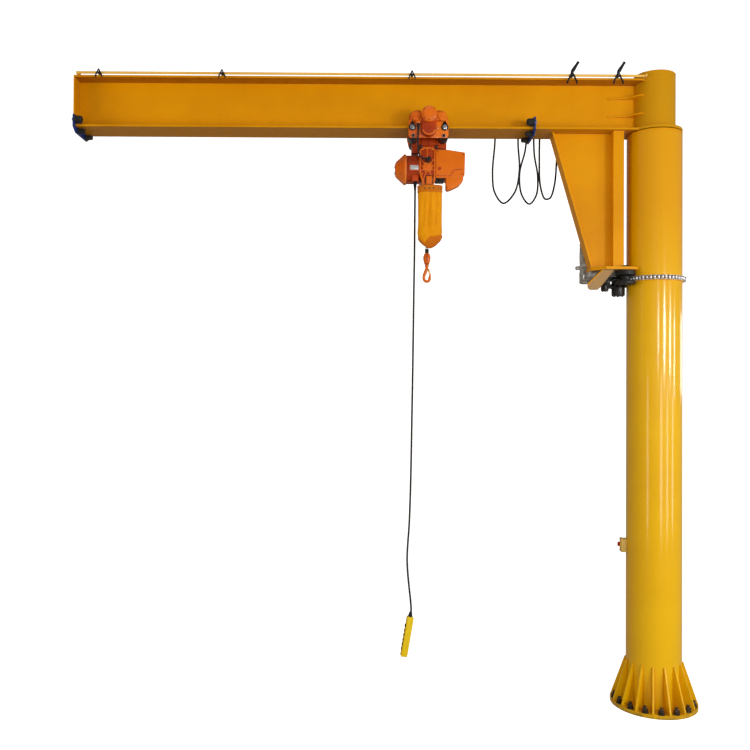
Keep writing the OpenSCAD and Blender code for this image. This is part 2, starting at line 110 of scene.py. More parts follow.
class Shape:
    """Gathers closed solids, in millimetres in the part's frame."""

    def __init__(self):
        self.v, self.f, self.m = [], [], []

    def add(self, v, f, m=0):
        n = len(self.v)
        self.v += [Vector(p) for p in v]
        self.f += [[i + n for i in q] for q in f]
        self.m += [m] * len(f)
        return self

    def lathe(self, prof, o=(0, 0, 0), axis=(0, 0, 1), n=48, m=0, a0=0.0, ring=False):
        u, v, a = axes_of(axis)
        o = Vector(o)
        rows, pts, faces = [], [], []
        for r, h in prof:
            if r < 1e-6:
                rows.append([len(pts)])
                pts.append(o + a * h)
            else:
                rows.append(list(range(len(pts), len(pts) + n)))
                pts += [o + a * h + u * (r * math.cos(2 * math.pi * k / n + a0)) + v * (r * math.sin(2 * math.pi * k / n + a0)) for k in range(n)]
        pairs = list(zip(rows, rows[1:])) + ([(rows[-1], rows[0])] if ring else [])
        for A, B in pairs:
            if len(A) == 1 and len(B) == 1:
                continue
            for k in range(n):
                j = (k + 1) % n
                if len(A) == 1:
                    faces.append([A[0], B[j], B[k]])
                elif len(B) == 1:
                    faces.append([A[k], A[j], B[0]])
                else:
                    faces.append([A[k], A[j], B[j], B[k]])
        if not ring:
            if len(rows[0]) > 1:
                faces.append(list(reversed(rows[0])))
            if len(rows[-1]) > 1:
                faces.append(list(rows[-1]))
        return self.add(pts, faces, m)

    def cyl(self, p0, p1, r, n=32, m=0, c=0.0):
        p0, p1 = Vector(p0), Vector(p1)
        l = (p1 - p0).length
        prof = [(r, 0), (r, l)] if c <= 0 else [(r - c, 0), (r - c * 0.3, c * 0.3), (r, c), (r, l - c), (r - c * 0.3, l - c * 0.3), (r - c, l)]
        return self.lathe(prof, p0, p1 - p0, n, m)

    def hexa(self, o, axis, af, h, m=0, rot=0.0):
        r = af / math.sqrt(3)
        return self.lathe([(r * 0.92, 0), (r, 0.08 * af), (r, h - 0.08 * af), (r * 0.9, h)], o, axis, 6, m, rot)

    def bolt(self, o, axis, af=17, h=7, m=0, washer=True, rot=0.3):
        o = Vector(o)
        a = Vector(axis).normalized()
        if washer:
            self.lathe([(af * 0.86, 0), (af * 0.86, 1.4), (af * 0.8, 2.0), (0, 2.0)], o, a, 24, m)
            o = o + a * 2.0
        self.hexa(o, a, af, h, m, rot)
        return self.lathe([(af * 0.28, 0), (af * 0.28, h + 2.2), (af * 0.22, h + 3.2)], o, a, 16, m)

    def tube(self, pts, r, n=10, m=0, closed=False, radii=None):
        p = [Vector(q) for q in pts]
        c = len(p)
        t = []
        for i in range(c):
            a = p[(i + 1) % c] if closed or i < c - 1 else p[i]
            b = p[(i - 1) % c] if closed or i > 0 else p[i]
            t.append((a - b).normalized())
        u = axes_of(t[0])[0]
        verts, faces, us = [], [], []
        for i in range(c):
            u = (u - t[i] * u.dot(t[i])).normalized()
            us.append(u.copy())
        twist = 0.0
        if closed:
            u = (us[-1] - t[0] * us[-1].dot(t[0])).normalized()
            v0 = t[0].cross(us[0])
            twist = math.atan2(u.dot(v0), u.dot(us[0]))
        for i in range(c):
            u = us[i]
            v = t[i].cross(u)
            rr = r if radii is None else radii[i]
            for k in range(n):
                a = 2 * math.pi * k / n - twist * i / c
                verts.append(p[i] + u * (rr * math.cos(a)) + v * (rr * math.sin(a)))
        for i in range(c if closed else c - 1):
            j = (i + 1) % c
            for k in range(n):
                l = (k + 1) % n
                faces.append([i * n + k, i * n + l, j * n + l, j * n + k])
        if not closed:
            faces.append(list(range(n - 1, -1, -1)))
            faces.append([(c - 1) * n + k for k in range(n)])
        return self.add(verts, faces, m)

    def _bm(self, bm, m):
        bm.verts.ensure_lookup_table()
        bm.verts.index_update()
        v = [x.co.copy() for x in bm.verts]
        f = [[x.index for x in q.verts] for q in bm.faces]
        bm.free()
        return self.add(v, f, m)

    def rbox(self, lo, hi, r=3.0, seg=2, m=0, mat=None):
        bm = bmesh.new()
        bmesh.ops.create_cube(bm, size=1)
        lo, hi = Vector(lo), Vector(hi)
        d = hi - lo
        for v in bm.verts:
            v.co = Vector(((v.co.x + 0.5) * d.x + lo.x, (v.co.y + 0.5) * d.y + lo.y, (v.co.z + 0.5) * d.z + lo.z))
        r = min(r, 0.45 * min(d))
        if r > 0:
            bmesh.ops.bevel(bm, geom=bm.edges[:], offset=r, segments=seg, profile=0.5, affect="EDGES")
        if mat is not None:
            bmesh.ops.transform(bm, matrix=mat, verts=bm.verts)
        return self._bm(bm, m)

    def prism(self, poly, plane, c0, c1, r=2.0, seg=2, m=0, rim_only=False, mat=None):
        """A polygon in the plane xz, xy or yz, between c0 and c1 on the third axis, with rounded edges."""
        area = sum(a[0] * b[1] - b[0] * a[1] for a, b in zip(poly, poly[1:] + poly[:1]))
        if area < 0:
            poly = poly[::-1]
        put = {"xz": lambda a, b, c: (a, c, b), "xy": lambda a, b, c: (a, b, c), "yz": lambda a, b, c: (c, a, b)}[plane]
        bm = bmesh.new()
        lo = [bm.verts.new(put(a, b, c0)) for a, b in poly]
        hi = [bm.verts.new(put(a, b, c1)) for a, b in poly]
        k = len(poly)
        bm.faces.new(lo[::-1])
        bm.faces.new(hi)
        for i in range(k):
            bm.faces.new((lo[i], lo[(i + 1) % k], hi[(i + 1) % k], hi[i]))
        bmesh.ops.recalc_face_normals(bm, faces=bm.faces)
        if r > 0:
            side = {frozenset((lo[i], hi[i])) for i in range(k)}
            edges = [e for e in bm.edges if not (rim_only and frozenset(e.verts) in side)]
            bmesh.ops.bevel(bm, geom=edges, offset=r, segments=seg, profile=0.5, affect="EDGES", clamp_overlap=True)
        if mat is not None:
            bmesh.ops.transform(bm, matrix=mat, verts=bm.verts)
        return self._bm(bm, m)

    def bead(self, pts, r=5.0, step=7.0, m=0, seed=0.0, closed=False, n=8):
        """A weld bead: a rippled, slightly uneven tube along a line of points."""
        p = [Vector(q) for q in pts]
        out = []
        pairs = list(zip(p, p[1:])) + ([(p[-1], p[0])] if closed else [])
        for a, b in pairs:
            k = max(1, int((b - a).length / step))
            out += [a.lerp(b, i / k) for i in range(k)]
        if not closed:
            out.append(p[-1])
        radii = [r * (1 + 0.10 * math.sin(2.1 * i) + 0.22 * noise.noise(Vector((i * 0.31, seed, 1.7)))) for i in range(len(out))]
        return self.tube(out, r, n, m, closed, radii)

    def ball(self, o, r, n=20, m=0, squash=1.0, axis=(0, 0, 1)):
        k = n // 2
        prof = [(r * math.sin(math.pi * i / k) if 0 < i < k else 0, -r * squash * math.cos(math.pi * i / k)) for i in range(k + 1)]
        return self.lathe(prof, o, axis, n, m)

    def move(self, mat, since=0):
        for i in range(since, len(self.v)):
            self.v[i] = mat @ self.v[i]
        return self


def piece(name, shape, mats, body, smooth=38, stands_for=(), ride=True):
    me = bpy.data.meshes.new(name)
    me.from_pydata([tuple(v * MM) for v in shape.v], [], shape.f)
    me.polygons.foreach_set("material_index", shape.m)
    for mat in mats:
        me.materials.append(mat)
    bm = bmesh.new()
    bm.from_mesh(me)
    bmesh.ops.recalc_face_normals(bm, faces=bm.faces)
    bm.to_mesh(me)
    bm.free()
    me.polygons.foreach_set("use_smooth", [True] * len(me.polygons))
    me.set_sharp_from_angle(angle=math.radians(smooth))
    me.update()
    o = bpy.data.objects.new(name, me)
    sc.collection.objects.link(o)
    if ride:
        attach(o, body)
    if stands_for:
        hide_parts(*stands_for)
    return o


# ------------------------------------------------------------------ materials
class Nodes:
    def __init__(self, name):
        self.mat = bpy.data.materials.new(name)
        self.mat.use_nodes = True
        self.t = self.mat.node_tree
        self.t.nodes.clear()
        self.out = self.add("ShaderNodeOutputMaterial")
        self.bsdf = self.add("ShaderNodeBsdfPrincipled")
        self.link(self.bsdf.outputs[0], self.out.inputs[0])
        self.co = self.add("ShaderNodeTexCoord").outputs["Object"]

    def add(self, kind, **inputs):
        n = self.t.nodes.new(kind)
        for k, v in inputs.items():
            n.inputs[k].default_value = v
        return n

    def link(self, a, b):
        self.t.links.new(a, b)

    def noise(self, scale, detail=4.0, rough=0.55, stretch=None):
        n = self.add("ShaderNodeTexNoise", Scale=scale, Detail=detail, Roughness=rough)
        src = self.co
        if stretch:
            mp = self.add("ShaderNodeMapping")
            mp.inputs["Scale"].default_value = stretch
            self.link(self.co, mp.inputs["Vector"])
            src = mp.outputs[0]
        self.link(src, n.inputs["Vector"])
        return n.outputs["Fac"]

    def ramp(self, value, a, b, lo=0.0, hi=1.0):
        n = self.add("ShaderNodeMapRange")
        for k, v in (("From Min", a), ("From Max", b), ("To Min", lo), ("To Max", hi)):
            n.inputs[k].default_value = v
        self.link(value, n.inputs["Value"])
        return n.outputs[0]

    def math(self, op, a, b):
        n = self.add("ShaderNodeMath")
        n.operation = op
        for i, x in enumerate((a, b)):
            if isinstance(x, (int, float)):
                n.inputs[i].default_value = x
            else:
                self.link(x, n.inputs[i])
        return n.outputs[0]

    def mix(self, fac, a, b):
        n = self.add("ShaderNodeMix")
        n.data_type = "RGBA"
        if isinstance(fac, (int, float)):
            n.inputs[0].default_value = fac
        else:
            self.link(fac, n.inputs[0])
        for i, x in ((6, a), (7, b)):
            if isinstance(x, (tuple, list)):
                n.inputs[i].default_value = (*x[:3], 1)
            else:
                self.link(x, n.inputs[i])
        return n.outputs[2]

    def bump(self, height, strength, distance, normal=None):
        n = self.add("ShaderNodeBump", Strength=strength, Distance=distance)
        self.link(height, n.inputs["Height"])
        if normal is not None:
            self.link(normal, n.inputs["Normal"])
        return n.outputs[0]


def finish(name, base, alt=None, worn_and_highlight=None, rough=0.4, span=0.08, metal=0.0, coat=0.0, coat_rough=0.1, big=2.2, small=55.0,
           fleck=0.10, bump=0.12, bump_scale=260.0, bump_dist=0.0004, wave=0.0, wave_scale=5.0, edge_r=0.0025, wear_and_highlight=0.5,
           dirt=None, dirt_top=0.0, hammer=False, weave=0.0, sheen=0.0, spec=0.28, soil=0.0, coat_wave=0.0, coat_ior=1.5, high=None,
           under=None):
    g = Nodes(name)
    alt = alt or tuple(c * 0.8 for c in base)
    worn_and_highlight = worn_and_highlight or tuple(min(1, c * 1.25 + 0.03) for c in base)
    col = g.mix(g.ramp(g.noise(big, 5), 0.38, 0.66), base, alt)
    col = g.mix(g.ramp(g.noise(small, 6, 0.65), 0.45, 0.75, 0, fleck), col, tuple(c * 0.45 for c in base))
    bev = g.add("ShaderNodeBevel", Radius=edge_r)
    bev.samples = 4
    geo = g.add("ShaderNodeNewGeometry")
    dot = g.add("ShaderNodeVectorMath")
    dot.operation = "DOT_PRODUCT"
    g.link(bev.outputs[0], dot.inputs[0])
    g.link(geo.outputs["Normal"], dot.inputs[1])
    # Rims: lighter colour at the edges, partly edge wear and partly a painted edge highlight.
    rim = g.ramp(dot.outputs["Value"], 0.999, 0.86)
    mask = g.math("MULTIPLY", rim, g.ramp(g.noise(38, 5, 0.7), 0.46, 0.62))
    col = g.mix(g.math("MULTIPLY", mask, wear_and_highlight), col, worn_and_highlight)
    if soil > 0:
        col = g.mix(g.ramp(g.noise(7.0, 6, 0.7, (1, 1, 0.35)), 0.56, 0.8, 0, soil), col, (0.10, 0.055, 0.02))
    # high: painted shade, the colour mixes towards high[2] between the heights high[0] and high[1] in metres, for a
    # part that gets less light higher up.
    if high:
        sep = g.add("ShaderNodeSeparateXYZ")
        g.link(g.co, sep.inputs[0])
        col = g.mix(g.ramp(sep.outputs["Z"], high[0], high[1]), col, high[2])
    # under: painted shade on downward faces, the colour mixes towards the under colour where the face points down,
    # broken up a little by noise.
    if under:
        face = g.add("ShaderNodeSeparateXYZ")
        g.link(geo.outputs["Normal"], face.inputs[0])
        down = g.math("MULTIPLY", g.ramp(face.outputs["Z"], -0.30, -0.45), g.ramp(g.noise(16, 5, 0.6), 0.25, 0.6, 0.7, 1.0))
        col = g.mix(down, col, under)
    if dirt:
        sep = g.add("ShaderNodeSeparateXYZ")
        g.link(g.co, sep.inputs[0])
        low = g.ramp(sep.outputs["Z"], dirt_top, 0.0)
        fac = g.math("MULTIPLY", low, g.ramp(g.noise(14, 6, 0.7), 0.36, 0.62, 0.15, 0.9))
        col = g.mix(fac, col, dirt)
    g.link(col, g.bsdf.inputs["Base Color"])
    r = g.ramp(g.noise(small * 0.4, 5, 0.6), 0.3, 0.7, max(0.03, rough - span), min(1, rough + span))
    g.link(r, g.bsdf.inputs["Roughness"])
    g.bsdf.inputs["Metallic"].default_value = metal
    g.bsdf.inputs["Specular IOR Level"].default_value = spec
    g.bsdf.inputs["Coat Weight"].default_value = coat
    g.bsdf.inputs["Coat Roughness"].default_value = coat_rough
    g.bsdf.inputs["Coat IOR"].default_value = coat_ior
    if sheen:
        g.bsdf.inputs["Sheen Weight"].default_value = sheen
        g.bsdf.inputs["Sheen Roughness"].default_value = 0.5
    nrm = bev.outputs[0]
    if hammer:
        v = g.add("ShaderNodeTexVoronoi", Scale=bump_scale)
        g.link(g.co, v.inputs["Vector"])
        nrm = g.bump(v.outputs["Distance"], bump, bump_dist, nrm)
    else:
        nrm = g.bump(g.noise(bump_scale, 3, 0.5), bump, bump_dist, nrm)
    if wave > 0:
        nrm = g.bump(g.noise(wave_scale, 2, 0.4), wave, 0.004, nrm)
    if weave > 0:
        total = None
        for d in ("X", "Z"):
            w = g.add("ShaderNodeTexWave", Scale=weave)
            w.bands_direction = d
            g.link(g.co, w.inputs["Vector"])
            total = w.outputs["Fac"] if total is None else g.math("ADD", total, w.outputs["Fac"])
        nrm = g.bump(total, 0.35, 0.0004, nrm)
    g.link(nrm, g.bsdf.inputs["Normal"])
    if coat_wave:
        g.link(g.bump(g.noise(1.0, 3, 0.5, (26, 26, 1.6)), coat_wave, 0.0016, bev.outputs[0]), g.bsdf.inputs["Coat Normal"])
    return g.mat


YELLOW = finish("yellow_paint", (0.72, 0.300, 0.0), (0.65, 0.255, 0.0), (0.80, 0.40, 0.03), rough=0.42, coat=0.04, coat_rough=0.2, spec=0.12,
                wave=0.10, wave_scale=3.5, bump=0.10, bump_scale=330, wear_and_highlight=0.40, fleck=0.05, soil=0.06)
# Column paint: above 2.6 to 3.5 m the colour turns a darker orange, a painted shade on the upper column.
YELLOW_GLOSS = finish("yellow_paint_gloss", (0.76, 0.425, 0.0), (0.72, 0.385, 0.0), (0.84, 0.52, 0.06), rough=0.50, coat=1.0, coat_rough=0.15, spec=0.05, coat_wave=0.12,
                      coat_ior=1.45, high=(2.6, 3.5, (0.67, 0.300, 0.0)),
                      wave=0.16, wave_scale=3.0, bump=0.08, bump_scale=330, wear_and_highlight=0.40, fleck=0.04, soil=0.06)
YELLOW_BASE = finish("yellow_paint_foot", (0.84, 0.47, 0.0), (0.72, 0.37, 0.0), (0.82, 0.54, 0.12), rough=0.38, spec=0.2, coat=0.15, coat_rough=0.15,
                     bump=0.15, bump_scale=300, wear_and_highlight=0.9, fleck=0.16, dirt=(0.10, 0.055, 0.016), dirt_top=0.040, edge_r=0.003)
# Foot plate: yellow paint with painted shade, dark brown on the downward faces.
FOOT = finish("yellow_paint_shaded_under", (0.72, 0.300, 0.0), (0.65, 0.255, 0.0), (0.86, 0.50, 0.10), rough=0.42, coat=0.04, coat_rough=0.2, spec=0.12,
              bump=0.10, bump_scale=330, wear_and_highlight=1.0, fleck=0.08, soil=0.1, edge_r=0.004, under=(0.36, 0.235, 0.12))
# Beam flanges: a darker copy of the yellow paint, with painted shade on the downward faces.
FLANGE_TOP = finish("yellow_paint_top_flange", (0.66, 0.27, 0.0), (0.56, 0.215, 0.0), (0.84, 0.50, 0.14), rough=0.42, coat=0.04, coat_rough=0.2, spec=0.10,
                    bump=0.10, bump_scale=330, wear_and_highlight=0.9, fleck=0.06, soil=0.1, under=(0.40, 0.138, 0.003))
FLANGE_LOW = finish("yellow_paint_low_flange", (0.66, 0.28, 0.0), (0.56, 0.225, 0.0), (0.84, 0.50, 0.14), rough=0.42, coat=0.04, coat_rough=0.2, spec=0.08,
                    bump=0.10, bump_scale=330, wear_and_highlight=0.8, fleck=0.06, soil=0.15, under=(0.50, 0.195, 0.003))
# Head tube: a darker copy of the yellow paint, a painted shade.
HEAD_SHADED = finish("yellow_paint_head_shaded", (0.56, 0.255, 0.001), (0.50, 0.245, 0.006), (0.74, 0.44, 0.06), rough=0.46, coat=0.06, coat_rough=0.2, spec=0.10,
              wave=0.10, wave_scale=3.5, bump=0.10, bump_scale=330, wear_and_highlight=0.5, fleck=0.06, soil=0.08)
WELD = finish("weld_paint", (0.72, 0.31, 0.0), (0.64, 0.26, 0.0), rough=0.38, spec=0.2, coat=0.08, bump=0.4, bump_scale=160, bump_dist=0.0008, wear_and_highlight=0.2)
ORANGE = finish("orange_paint", (0.74, 0.165, 0.003), (0.64, 0.125, 0.003), (0.88, 0.34, 0.06), rough=0.36, spec=0.2, coat=0.12, coat_rough=0.1,
                bump=0.22, bump_scale=240, bump_dist=0.0006, wear_and_highlight=0.65, fleck=0.12, soil=0.15)
ORANGE_CAST = finish("orange_casting", (0.80, 0.180, 0.004), (0.64, 0.105, 0.003), (0.90, 0.36, 0.10), rough=0.34, spec=0.25, coat=0.22, coat_rough=0.12,
                     bump=0.45, bump_scale=170, bump_dist=0.0009, wear_and_highlight=0.8, fleck=0.2, soil=0.3)
# Paler orange for the ring round the hoist motor: a painted highlight.
RING_HIGHLIGHT = finish("orange_paint_ring_highlight", (0.86, 0.30, 0.06), (0.80, 0.22, 0.03), (0.92, 0.50, 0.20), rough=0.34, spec=0.25, coat=0.15, bump=0.2, wear_and_highlight=0.6)
WIRE = finish("yellow_paint_pale", (0.84, 0.52, 0.11), (0.78, 0.44, 0.07), (0.88, 0.66, 0.30), rough=0.5, coat=0.05, bump=0.15, bump_scale=300, wear_and_highlight=0.4)
LATCH = finish("latch_plate_yellow_zinc", (0.80, 0.50, 0.17), (0.66, 0.36, 0.10), (0.9, 0.75, 0.5), rough=0.30, metal=0.35, bump=0.2, bump_scale=300, wear_and_highlight=0.6)
# Dark red-orange paint of the motor and castings; also used as painted shade in recesses and shaded bands of the
# trolley and hoist.
RED_PAINT_AND_SHADE = finish("red_orange_paint_and_shade", (0.54, 0.062, 0.003), (0.30, 0.026, 0.003), (0.78, 0.20, 0.06), rough=0.34, coat=0.18, coat_rough=0.12,
                   bump=0.3, bump_scale=200, bump_dist=0.0007, wear_and_highlight=0.7, fleck=0.18)
BLACK = finish("black_metal", (0.006, 0.006, 0.007), (0.016, 0.015, 0.014), (0.12, 0.11, 0.10), rough=0.34, span=0.12, coat=0.1,
               bump=0.25, bump_scale=180, bump_dist=0.0006, wear_and_highlight=0.6, fleck=0.3)
NUT = finish("dark_nut", (0.030, 0.026, 0.022), (0.07, 0.045, 0.025), (0.24, 0.20, 0.15), rough=0.48, span=0.14, metal=0.5,
             bump=0.3, bump_scale=300, wear_and_highlight=0.8)
RUBBER = finish("black_rubber", (0.012, 0.012, 0.013), (0.028, 0.027, 0.026), (0.06, 0.06, 0.06), rough=0.62, bump=0.3, bump_scale=420, wear_and_highlight=0.4)
CABLE = finish("cable_jacket", (0.012, 0.012, 0.013), (0.022, 0.022, 0.024), (0.04, 0.04, 0.04), rough=0.5, spec=0.2, bump=0.15, bump_scale=600, wear_and_highlight=0.3)
BLACK_PLASTIC = finish("black_plastic", (0.008, 0.008, 0.009), (0.018, 0.018, 0.020), (0.06, 0.06, 0.06), rough=0.46, spec=0.2, bump=0.2, bump_scale=500, wear_and_highlight=0.4)
ZINC = finish("zinc_steel", (0.62, 0.62, 0.64), (0.42, 0.42, 0.45), (0.85, 0.85, 0.86), rough=0.30, span=0.12, metal=0.85, bump=0.15, bump_scale=420, wear_and_highlight=0.7, fleck=0.3)
BRIGHT = finish("bright_plate", (0.80, 0.80, 0.80), (0.62, 0.62, 0.64), (0.95, 0.95, 0.95), rough=0.26, span=0.08, metal=0.55, bump=0.1, bump_scale=420, wear_and_highlight=0.5, fleck=0.15)
DARK_STEEL = finish("oiled_steel", (0.10, 0.095, 0.09), (0.05, 0.045, 0.04), (0.45, 0.43, 0.40), rough=0.34, span=0.12, metal=0.8, bump=0.2, bump_scale=300, wear_and_highlight=0.8, fleck=0.3)
GREY = finish("hammered_grey", (0.50, 0.49, 0.45), (0.13, 0.12, 0.11), (0.80, 0.79, 0.72), rough=0.24, span=0.1, coat=0.6, coat_rough=0.08,
              big=22, small=90, bump=0.9, bump_scale=170, bump_dist=0.003, hammer=True, wear_and_highlight=0.9, fleck=0.5, soil=0.4)
CREAM = finish("cream_plastic", (0.66, 0.44, 0.10), (0.52, 0.34, 0.08), (0.80, 0.66, 0.34), rough=0.46, bump=0.2, bump_scale=500, wear_and_highlight=0.4)
RED = finish("red_plastic", (0.45, 0.015, 0.012), (0.33, 0.012, 0.010), (0.7, 0.12, 0.1), rough=0.3, bump=0.12, bump_scale=500, wear_and_highlight=0.4)
BLUE = finish("blue_paint", (0.006, 0.030, 0.17), (0.005, 0.018, 0.10), (0.10, 0.14, 0.26), rough=0.36, coat=0.3, bump=0.2, bump_scale=280, wear_and_highlight=0.6, fleck=0.2)
PENDANT = finish("pendant_yellow", (0.80, 0.55, 0.006), (0.70, 0.44, 0.006), (0.95, 0.78, 0.25), rough=0.42, span=0.06, bump=0.3, bump_scale=520, bump_dist=0.0003, wear_and_highlight=0.35, fleck=0.08)
OCHRE = finish("button_ochre", (0.42, 0.24, 0.012), (0.30, 0.17, 0.010), rough=0.5, bump=0.2, bump_scale=500, wear_and_highlight=0.3)
CANVAS = finish("canvas", (0.80, 0.325, 0.001), (0.68, 0.235, 0.001), (0.88, 0.42, 0.02), rough=0.68, spec=0.1, span=0.06, bump=0.25, bump_scale=90, bump_dist=0.0012,
                weave=420, sheen=0.08, wear_and_highlight=0.3, fleck=0.10, edge_r=0.004, soil=0.12)
CANVAS_FOLD = finish("canvas_fold", (0.66, 0.235, 0.002), (0.56, 0.175, 0.002), (0.82, 0.40, 0.05), rough=0.62, spec=0.12, bump=0.35, bump_scale=120, bump_dist=0.0012,
                     weave=300, sheen=0.1, wear_and_highlight=0.3, fleck=0.12, soil=0.2)
# Darker canvas: the real top band of the bag, and also a painted shade on the folded bottom front.
CANVAS_BAND_AND_SHADE = finish("canvas_band_and_shade", (0.66, 0.185, 0.004), (0.52, 0.125, 0.004), (0.82, 0.32, 0.04), rough=0.62, spec=0.12, bump=0.35, bump_scale=120, bump_dist=0.0012,
                     weave=420, sheen=0.06, wear_and_highlight=0.4, fleck=0.16, soil=0.25)
BRASS = finish("eyelet_brass", (0.46, 0.20, 0.03), (0.32, 0.13, 0.02), (0.70, 0.42, 0.12), rough=0.38, span=0.1, metal=0.7, bump=0.15, bump_scale=420, wear_and_highlight=0.6)
BACK = finish("backdrop", (0.93, 0.93, 0.93), (0.90, 0.90, 0.90), rough=0.85, bump=0.02, fleck=0.0, wear_and_highlight=0.0)


def repaint(node, mat):
    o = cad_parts[node]
    if not o.material_slots:
        o.data.materials.append(mat)
    for s in o.material_slots:
        s.material = mat


for node_name, mat in {
    "base_plate": YELLOW_BASE, "base_gussets": YELLOW_BASE, "column_tube": YELLOW_GLOSS, "pivot_spindle": YELLOW, "head_tube": HEAD_SHADED,
    "beam_web": YELLOW, "beam_top_flange": FLANGE_TOP, "beam_bottom_flange": FLANGE_LOW, "beam_end_plate": YELLOW, "root_stiffeners": YELLOW,
    "bracket_web": YELLOW, "bracket_slant_flange": YELLOW, "bracket_post": YELLOW, "bracket_foot_plate": FOOT,
    "pivot_bearings": GREY, "wheel_tip_near": RED_PAINT_AND_SHADE, "wheel_tip_far": RED_PAINT_AND_SHADE,
    "wheel_root_near": RED_PAINT_AND_SHADE, "wheel_root_far": RED_PAINT_AND_SHADE, "trolley_spacer_bars": BLACK, "trolley_suspension": RED_PAINT_AND_SHADE,
}.items():
    repaint(node_name, mat)


# ------------------------------------------------------------------ cords
PENDANT_PTS = [(-1699, -66, 3640), (-1699, -66, 3600), (-1700, -66, 3400), (-1701, -66, 3150), (-1704, -66, 2900), (-1707, -66, 2600),
               (-1710, -66, 2300), (-1714, -66, 2000), (-1718, -66, 1700), (-1723, -66, 1450), (-1730, -66, 1250), (-1739, -66, 1120),
               (-1743, -66, 1020), (-1738, -66, 920), (-1728, -66, 820), (-1717, -66, 720), (-1713.7, -66, 659.6), (-1719, -66, 628)]
FY = 182
FESTOON_XZ = [(-95, 4300), (-130, 4300), (-160, 4308), (-190, 4332), (-220, 4356), (-250, 4362), (-276, 4344), (-290, 4260), (-340, 3960),
              (-420, 3700), (-500, 3620), (-560, 3680), (-574, 3960), (-576, 4240), (-580, 4340), (-600, 4362), (-620, 4340), (-630, 4200),
              (-650, 3900), (-668, 3690), (-700, 3600), (-736, 3594), (-770, 3690), (-778, 3900), (-774, 4200), (-778, 4340), (-798, 4362),
              (-816, 4340), (-820, 4160), (-815, 3920), (-790, 3760), (-800, 3620), (-850, 3556), (-905, 3620), (-922, 3780), (-880, 3960),
              (-872, 4180), (-880, 4340), (-900, 4362), (-920, 4340), (-930, 4200), (-934, 4000), (-924, 3800), (-958, 3640), (-1040, 3560),
              (-1104, 3640), (-1120, 3780), (-1104, 4000), (-1100, 4200), (-1104, 4340), (-1124, 4362)]
LEAD_PTS = [(-1684, -164, 4030), (-1684, -164, 3990), (-1686, -164, 3930), (-1685, -164, 3880), (-1681, -164, 3840), (-1670, -164, 3806),
            (-1652, -164, 3791), (-1636, -164, 3788), (-1622, -164, 3788)]


path = smooth_path(PENDANT_PTS, 14)
down = V((-math.sin(math.radians(9.5)), 0, -math.cos(math.radians(9.5))))
path = path + [path[-1] + down * (13.0 * i) for i in range(1, 12)]
cable = piece("pendant_cable_jacket", Shape().tube(path, 6.9, 12), [CABLE], "trolley", 60, ["pendant_cable"])
for name, pts, steps, thick, body, stands_for in (("festoon_cable_jacket", [(x, FY, z) for x, z in FESTOON_XZ], 14, 13.8, "jib", "festoon_cable"),
                                                  ("trolley_lead_jacket", LEAD_PTS, 6, 11.8, "trolley", "trolley_lead")):
    route = smooth_path(pts, steps)
    ob = piece(name, Shape().tube(route, thick / 2, 12), [CABLE], body, 60, [stands_for])
    tuple(V(pts[0]) * MM)


# ------------------------------------------------------------------ column, base and slewing chain
COLUMN_R, BASE_T, CHAIN_Z, CHAIN_R = 188.5, 25.0, 2978.0, 202.1
CAMS = [math.radians(3 + 22.5 * i) for i in range(16)]


def ring(r, z, n=160, a0=0.0, a1=2 * math.pi):
    k = n if a1 - a0 > 6.28 else n + 1
    return [V((r * math.cos(a0 + (a1 - a0) * i / n), r * math.sin(a0 + (a1 - a0) * i / n), z)) for i in range(k)]


def polar(r, a, z, side=0.0):
    return V((r * math.cos(a) - side * math.sin(a), r * math.sin(a) + side * math.cos(a), z))


s = Shape()
for a in (x + math.radians(11.25) for x in CAMS):
    o = polar(268, a, BASE_T)
    s.lathe([(23, 0), (23, 3.4), (22.3, 4.2), (0, 4.2)], o, (0, 0, 1), 32)
    s.hexa(o + V((0, 0, 4.2)), (0, 0, 1), 36, 22, 0, a * 3)
    s.lathe([(12, 0)] + [p for i in range(6) for p in ((12, 27 + i * 2.6), (11, 28.3 + i * 2.6))] + [(12, 43), (10.4, 45), (0, 45)], o, (0, 0, 1), 20)
piece("anchor_nuts", s, [NUT], "column", 30)

s = Shape()
for i, a in enumerate(CAMS):
    for q in (-1, 1):
        s.bead([polar(COLUMN_R + 1, a, z, q * 7.5) for z in (BASE_T + 4, 168, 309)], 4.6, 7, 0, i + q * 0.3, n=6)
        s.bead([polar(r, a, BASE_T + 1, q * 7.5) for r in (COLUMN_R + 2, 240, 288)], 4.6, 7, 0, i + q * 0.7, n=6)
    s.bead(ring(COLUMN_R + 1, BASE_T + 1, 12, a + 0.06, a + math.radians(22.5) - 0.06), 5, 7, 0, i * 1.3, n=6)
s.bead(ring(COLUMN_R + 0.5, CHAIN_Z - 17, 160), 4.6, 8, 0, 3.3, True, 6)
s.bead(ring(COLUMN_R + 0.5, CHAIN_Z + 16.5, 160), 3.6, 8, 0, 5.1, True, 6)
piece("column_welds", s, [WELD], "column", 60)


def chain_plate(shape, mid, tang, z0, z1, m, rad=11.6, half=12.7):
    n = V((-tang.y, tang.x, 0))
    poly = []
    for sgn in (1, -1):
        for k in range(9):
            b = math.pi * (k / 8 - 0.5)
            e = tang * (sgn * (half + rad * math.cos(b))) + n * (sgn * rad * math.sin(b))
            poly.append(mid + e)
        w = rad * 0.74
        poly.append(mid + n * (sgn * w))
    shape.prism([(p.x, p.y) for p in poly], "xy", z0, z1, 0.7, 1, m, rim_only=True)


